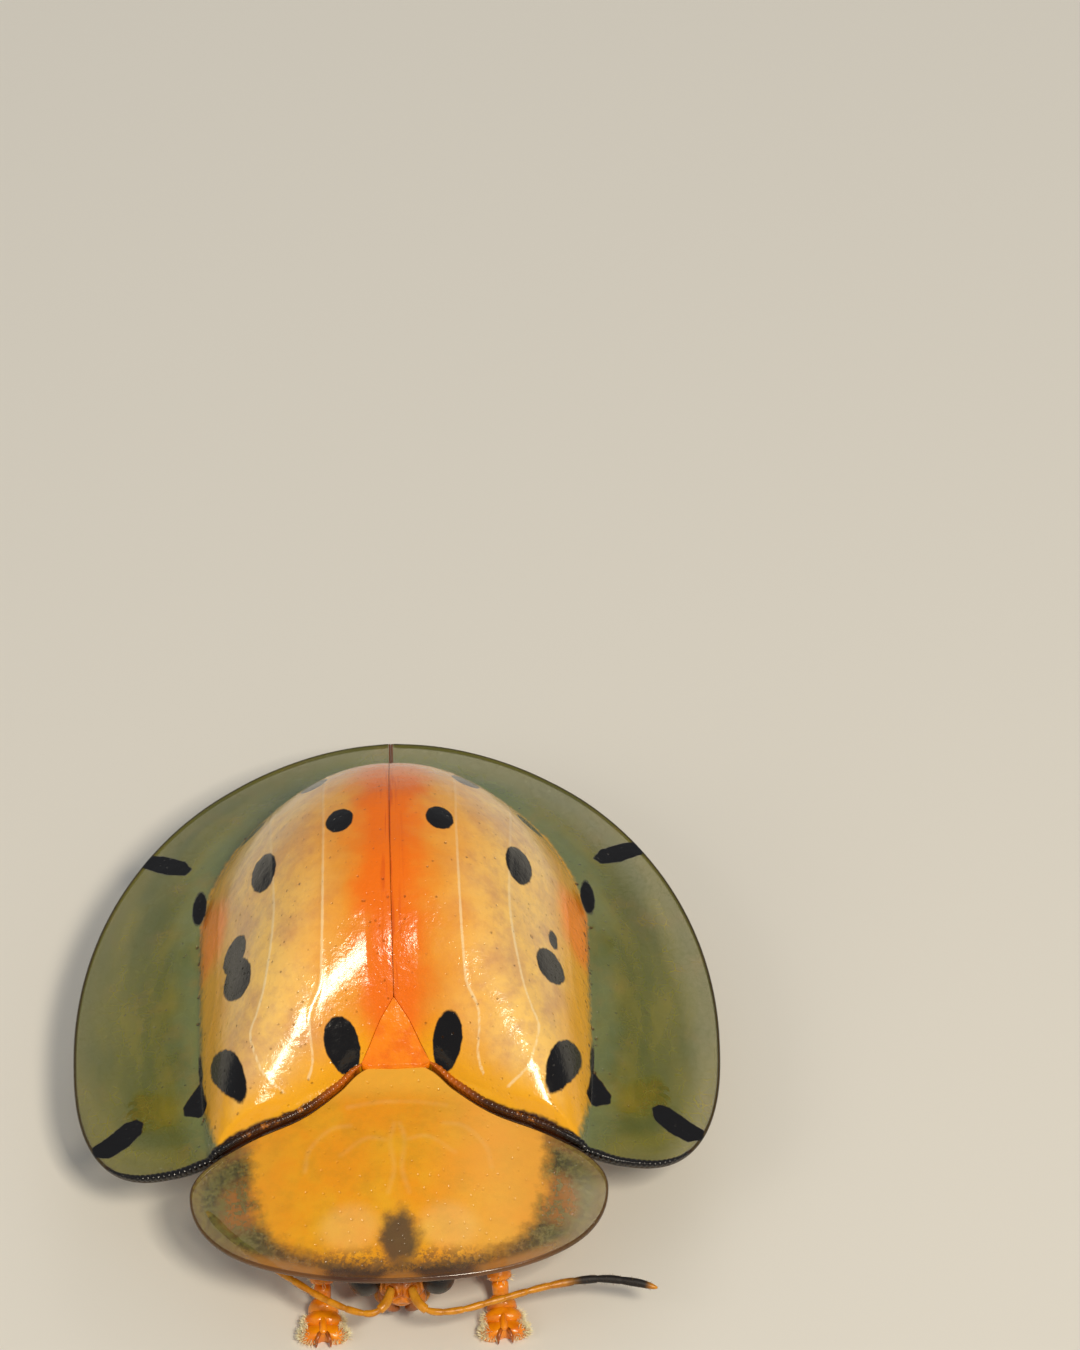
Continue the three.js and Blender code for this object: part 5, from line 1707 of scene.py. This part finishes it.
# %% Head
HEAD_Y, HEAD_MIDDLE_Z = -3.58, 1.16
FACE_HALF_WIDTH, FACE_DEPTH, FACE_HALF_HEIGHT = 0.56, 0.6, 0.42
HEAD_POINTS, HEAD_RINGS, HEAD_END, HEAD_SQUARENESS = 240, 150, 0.015, 0.7


def head_paint(p):
    height = p.minus(p.group("Grain", Scale=14.0, Depth=0.8), p.group("Pits", Scale=14.0, Size=0.3))
    return {"Base Color": p.mix(p.group("Clouds", Scale=3.0, Low=0.35, High=0.7), "#dc8210", "#a85208"),
            "Normal": p.bump(height, 0.02, 0.8)}


head_finish = finish("head chitin", head_paint, Roughness=0.32, Coat_Weight=0.3, Coat_Roughness=0.12)


def head_ring(t):
    """One ring of the head; t is its share of the way up."""
    turn = np.linspace(0, 2 * math.pi, HEAD_POINTS + 1)[:-1]
    lat = math.pi * (t - 0.5)
    size = math.cos(lat) ** HEAD_SQUARENESS
    x = FACE_HALF_WIDTH * size * np.cos(turn)
    y = FACE_DEPTH * size * np.sin(turn)
    z = HEAD_MIDDLE_Z + FACE_HALF_HEIGHT * math.sin(lat)
    front = clamp01(-y / 0.3)
    x = x * (1 - 0.2 * front * clamp01(t - 0.2))
    y = y - 0.06 * front * bell(x / 0.26) * (1 - 0.5 * t)
    return points_of(x, y - face_relief(x, z) * front + HEAD_Y, z)


head_rings = [head_ring(t) for t in np.linspace(HEAD_END, 1 - HEAD_END, HEAD_RINGS)]
head = piece("head_capsule", skin(head_rings), head_finish)
print("head faces", len(head.data.polygons))

# %% [markdown]
# ## Eyes
# Each eye is a globe of some 2,500 facets. A bump would fake them, but real facets keep their
# fine sparkle from any side. The globe is a ball of triangles turned into six-sided cells, each
# raised a little by the same tree.

# %% A rule for facets
FACET_TOP = 0.72  # the raised top of a cell keeps this share of its width


def facets(g, unused_source, rounds, depth, radii, place):
    """A globe of six-sided facets, each one raised a little and rounded off."""
    ball = g.node("GeometryNodeMeshIcoSphere", {"Radius": 1.0, "Subdivisions": rounds})
    cells = g.node("GeometryNodeDualMesh", {"Mesh": ball})
    inputs = {"Mesh": cells, "Offset Scale": depth, "Individual": True}
    raised = g.node("GeometryNodeExtrudeMesh", inputs)
    inputs = {"Geometry": raised, "Selection": raised.node.outputs["Top"], "Scale": FACET_TOP}
    rounded = g.node("GeometryNodeScaleElements", inputs)
    inputs = {"Geometry": rounded, "Translation": place, "Scale": radii}
    return g.node("GeometryNodeTransform", inputs)


NOWHERE, UNSCALED = (0.0, 0.0, 0.0), (1.0, 1.0, 1.0)
growth("Facets", {"Rounds": 5, "Depth": 0.02, "Radii": UNSCALED, "Place": NOWHERE}, facets)
print("growing rule", bpy.data.node_groups["Facets"].name)

# %% [markdown]
# ## Both eyes
# An eye is a little deeper than it is wide, and nearly black with a brown shade. The tree makes
# its own ball, so all that it is given is a speck of a mesh to carry the modifier.

# %% Eyes
EYE_PLACE, EYE_RADII = (0.69, -3.7, 1.22), (0.35, 0.37, 0.37)
EYE_ROUNDS, FACET_HEIGHT = 5, 0.009  # the height is a share of the eye's radius
eye_finish = patchy_finish(
    "dark eye", ("#0b0806", "#24170f"), (2.0, 0.35, 0.7), (30.0, 0.5, 0.004, 0.5),
    Roughness=0.15, IOR=1.5, Coat_Weight=0.3, Coat_Roughness=0.05,
)


def eye_globe(name, side):
    source = piece(name + "_seed", skin([np.zeros((3, 3))]), eye_finish)
    place = in_metres(array(EYE_PLACE) * array([side, 1, 1]))
    settings = {"Rounds": EYE_ROUNDS, "Depth": FACET_HEIGHT, "Place": tuple(place.tolist()),
                "Radii": tuple((array(EYE_RADII) / MM).tolist())}
    return grown(name, source, "Facets", eye_finish, settings)


eye_left = eye_globe("eye_left_globe", 1)
eye_right = eye_globe("eye_right_globe", -1)
print("eye faces", len(eye_left.data.polygons))

# %% [markdown]
# ## Mouth
# Short curved jaws and palps are tucked under the face. They could be left out, as they only
# show from below, but that view counts too. Each is a rod that narrows to its tip.

# %% Mouth
JAW = [(0.22, -3.66, 0.84), (0.29, -3.8, 0.66), (0.2, -3.86, 0.5), (0.05, -3.86, 0.42)]
JAW_RADII = [0.2, 0.19, 0.13, 0.05]
PALP = [(0.36, -3.4, 0.86), (0.46, -3.42, 0.6), (0.42, -3.54, 0.4), (0.36, -3.62, 0.3)]
PALP_RADII = [0.11, 0.13, 0.09, 0.12, 0.06]
MOUTH_STEPS, MOUTH_SIDES = 24, 16


def jaw_paint(p):
    """Dark at the biting end."""
    base = p.mix(p.step(p.part(p.place(), "Z"), 0.35, 0.75), "#7a3a0c", "#c06c10")
    return {"Base Color": base, "Normal": p.bump(p.group("Grain", Scale=18.0, Depth=0.8), 0.012, 0.8)}


jaw_finish = finish("jaw chitin", jaw_paint, Roughness=0.28, Coat_Weight=0.3, Coat_Roughness=0.1)
palp_finish = patchy_finish("palp", ("#d8901f", "#b06a14"), (6.0, 0.35, 0.7), (18.0, 0.8, 0.012, 0.8),
                            Roughness=0.35)


def mouth_part(side, points, radii):
    line = smooth_line(array(points) * array([side, 1, 1]), MOUTH_STEPS)
    return tube(line, swell(MOUTH_STEPS, np.linspace(0, 1, len(radii)), radii), MOUTH_SIDES)


mouth = {}
for word, side in (("left", 1), ("right", -1)):
    jaw, palp = mouth_part(side, JAW, JAW_RADII), mouth_part(side, PALP, PALP_RADII)
    mouth["mandible_" + word] = piece("mandible_" + word + "_jaw", jaw, jaw_finish)
    mouth["palp_" + word] = piece("palp_" + word + "_feeler", palp, palp_finish)
print("mouth parts", list(mouth))

# %% [markdown]
# ## Table
# The beetle stands on a plain pale table, much wider than the picture. A curved sheet of card
# would hide the horizon, but the camera looks down, so a flat square is enough.

# %% Table
TABLE_HALF = 0.6  # metres

table_paint = finish("pale table", lambda p: {"Base Color": "#dedbd3"}, Roughness=0.75)
sheet = bpy.data.meshes.new("table")
corners = [(x * TABLE_HALF, y * TABLE_HALF, 0) for x, y in ((-1, -1), (1, -1), (1, 1), (-1, 1))]
sheet.from_pydata(corners, [], [(0, 1, 2, 3)])
sheet.materials.append(table_paint)
table = in_scene("table", sheet)
print("table", 2 * TABLE_HALF, "m wide")

# %% [markdown]
# ## Light
# Soft light comes from three square panels and a pale sky. Sheets of daylight film in a window
# would do the same. The key light is small and near the camera, as its glint on the dome shows
# how glossy the chitin is; the other two only lift the shadows and don't show in the gloss.

# %% Light
LIT_PLACE = Vector((0, 0, 0.0025))
SKY_STRENGTH = 0.32


def panel(name, azimuth, elevation, distance, size, power, tint):
    """A square light on a sphere round the beetle, turned to face it; sizes in metres and watts."""
    data = bpy.data.lights.new(name, "AREA")
    data.shape, data.size, data.energy = "SQUARE", size, power
    data.color = colour(tint)[:3]
    lamp = in_scene(name, data)
    a, e = math.radians(azimuth), math.radians(elevation)
    away = Vector((math.sin(a) * math.cos(e), -math.cos(a) * math.cos(e), math.sin(e)))
    lamp.location = LIT_PLACE + away * distance
    lamp.rotation_euler = away.to_track_quat("Z", "Y").to_euler()
    return lamp


lamps = [
    panel("key light", 26, 52, 0.2, 0.04, 0.3, "#fff2dc"),
    panel("fill light", -62, 38, 0.22, 0.1, 0.07, "#fff6e8"),
    panel("back light", 170, 30, 0.24, 0.1, 0.06, "#ffffff"),
]
for lamp in lamps[1:]:
    lamp.visible_glossy = False

world = bpy.data.worlds.new("daylight")
bpy.context.scene.world = world
world.use_nodes = True
sky = world.node_tree.nodes["Background"]
sky.inputs["Color"].default_value = colour("#dfe6ee")
sky.inputs["Strength"].default_value = SKY_STRENGTH
bpy.context.scene.view_settings.view_transform = "Standard"
print("lights", [lamp.name for lamp in lamps])

# %% [markdown]
# ## Camera
# The camera has a long lens and looks down at the front of the beetle, leaning a little to one
# side. It could be set by eye. Its place is worked out instead from one point of the beetle, the
# pixel on which that point falls, and how many pixels a metre covers there.

# %% Camera
FRAME_SIZE, PIVOT_PIXEL = (1080, 1350), (397, 1093)  # pixels of the whole picture
AZIMUTH, ELEVATION, ROLL = math.radians(1), math.radians(50), math.radians(2.4)
CAMERA_DISTANCE, PIXELS_PER_METRE = 0.18, 51300.0
SENSOR_WIDTH = 36.0  # millimetres
# the pivot lies under the middle of the wing cases' front edge
PIVOT = Vector((0, SHIFT_Y / MM, 0.0023))

lens = bpy.data.cameras.new("camera")
camera = in_scene("camera", lens)
bpy.context.scene.camera = camera
focal = CAMERA_DISTANCE * PIXELS_PER_METRE  # in pixels of the picture
lens.sensor_width = SENSOR_WIDTH
lens.lens = focal / FRAME_SIZE[1] * SENSOR_WIDTH
lens.clip_start, lens.clip_end = 0.01, 10

back = Vector((math.sin(AZIMUTH) * math.cos(ELEVATION), -math.cos(AZIMUTH) * math.cos(ELEVATION),
               math.sin(ELEVATION)))
right = Vector((math.cos(AZIMUTH), math.sin(AZIMUTH), 0))
up = back.cross(right)
leaning_right = right * math.cos(ROLL) - up * math.sin(ROLL)
leaning_up = right * math.sin(ROLL) + up * math.cos(ROLL)
aside, below = PIVOT_PIXEL[0] - FRAME_SIZE[0] / 2, FRAME_SIZE[1] / 2 - PIVOT_PIXEL[1]
aim = Vector((aside, below, -focal)).normalized()
pan = aim.rotation_difference(Vector((0, 0, -1))).to_matrix()
pose = (Matrix([leaning_right, leaning_up, back]).transposed() @ pan).to_4x4()
pose.translation = PIVOT + back * CAMERA_DISTANCE
camera.matrix_world = pose
print("lens", round(lens.lens, 1), "mm")

# %% [markdown]
# ## Frame of the library part
# Each piece rides the one body and stands for the solid nodes that it hides. A call could follow
# each piece where it is made, but one table shows at a glance that no node is left over.

# %% Pieces and nodes
ride_table = [
    (case_left, "wing_case", ["wing_case_left"]),
    (case_right, "wing_case", ["wing_case_right"]),
    (scutellum, "scutellum", ["scutellum"]),
    (shield, "shield", ["shield"]),
    (trunk, "body", ["prothorax", "thorax", "abdomen"]),
    (head, "head", ["head"]),
    (eye_left, "eye", ["eye_left"]),
    (eye_right, "eye", ["eye_right"]),
]
for name, thing in mouth.items():
    ride_table.append((thing, "jaw" if name.startswith("mandible") else "feeler", [name]))
for word, thing in bead_rows.items():
    ride_table.append((thing, "wing_case", ["wing_case_" + word]))
for name, thing in legs.items():
    nodes = [f"{name}_{part}" for part in ("coxa", "femur", "tibia", "tarsus")]
    ride_table.append((thing, "leg", nodes))
    ride_table += [(claw_pairs[name], "leg", nodes[3:]), (tufts[name], "leg", nodes[3:])]
for name, thing in feelers.items():
    nodes = [f"{name}_{part}" for part in ("scape", "flagellum", "club")]
    ride_table += [(thing, "feeler", nodes), (bristles[name], "feeler", nodes)]
for thing, slot_name, nodes in ride_table:
    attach(thing, "root")
    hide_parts(*nodes)
print(len(ride_table), "pieces for", len({n for _, _, nodes in ride_table for n in nodes}), "nodes")

# %% [markdown]
# ## End

# %% End
print("done")
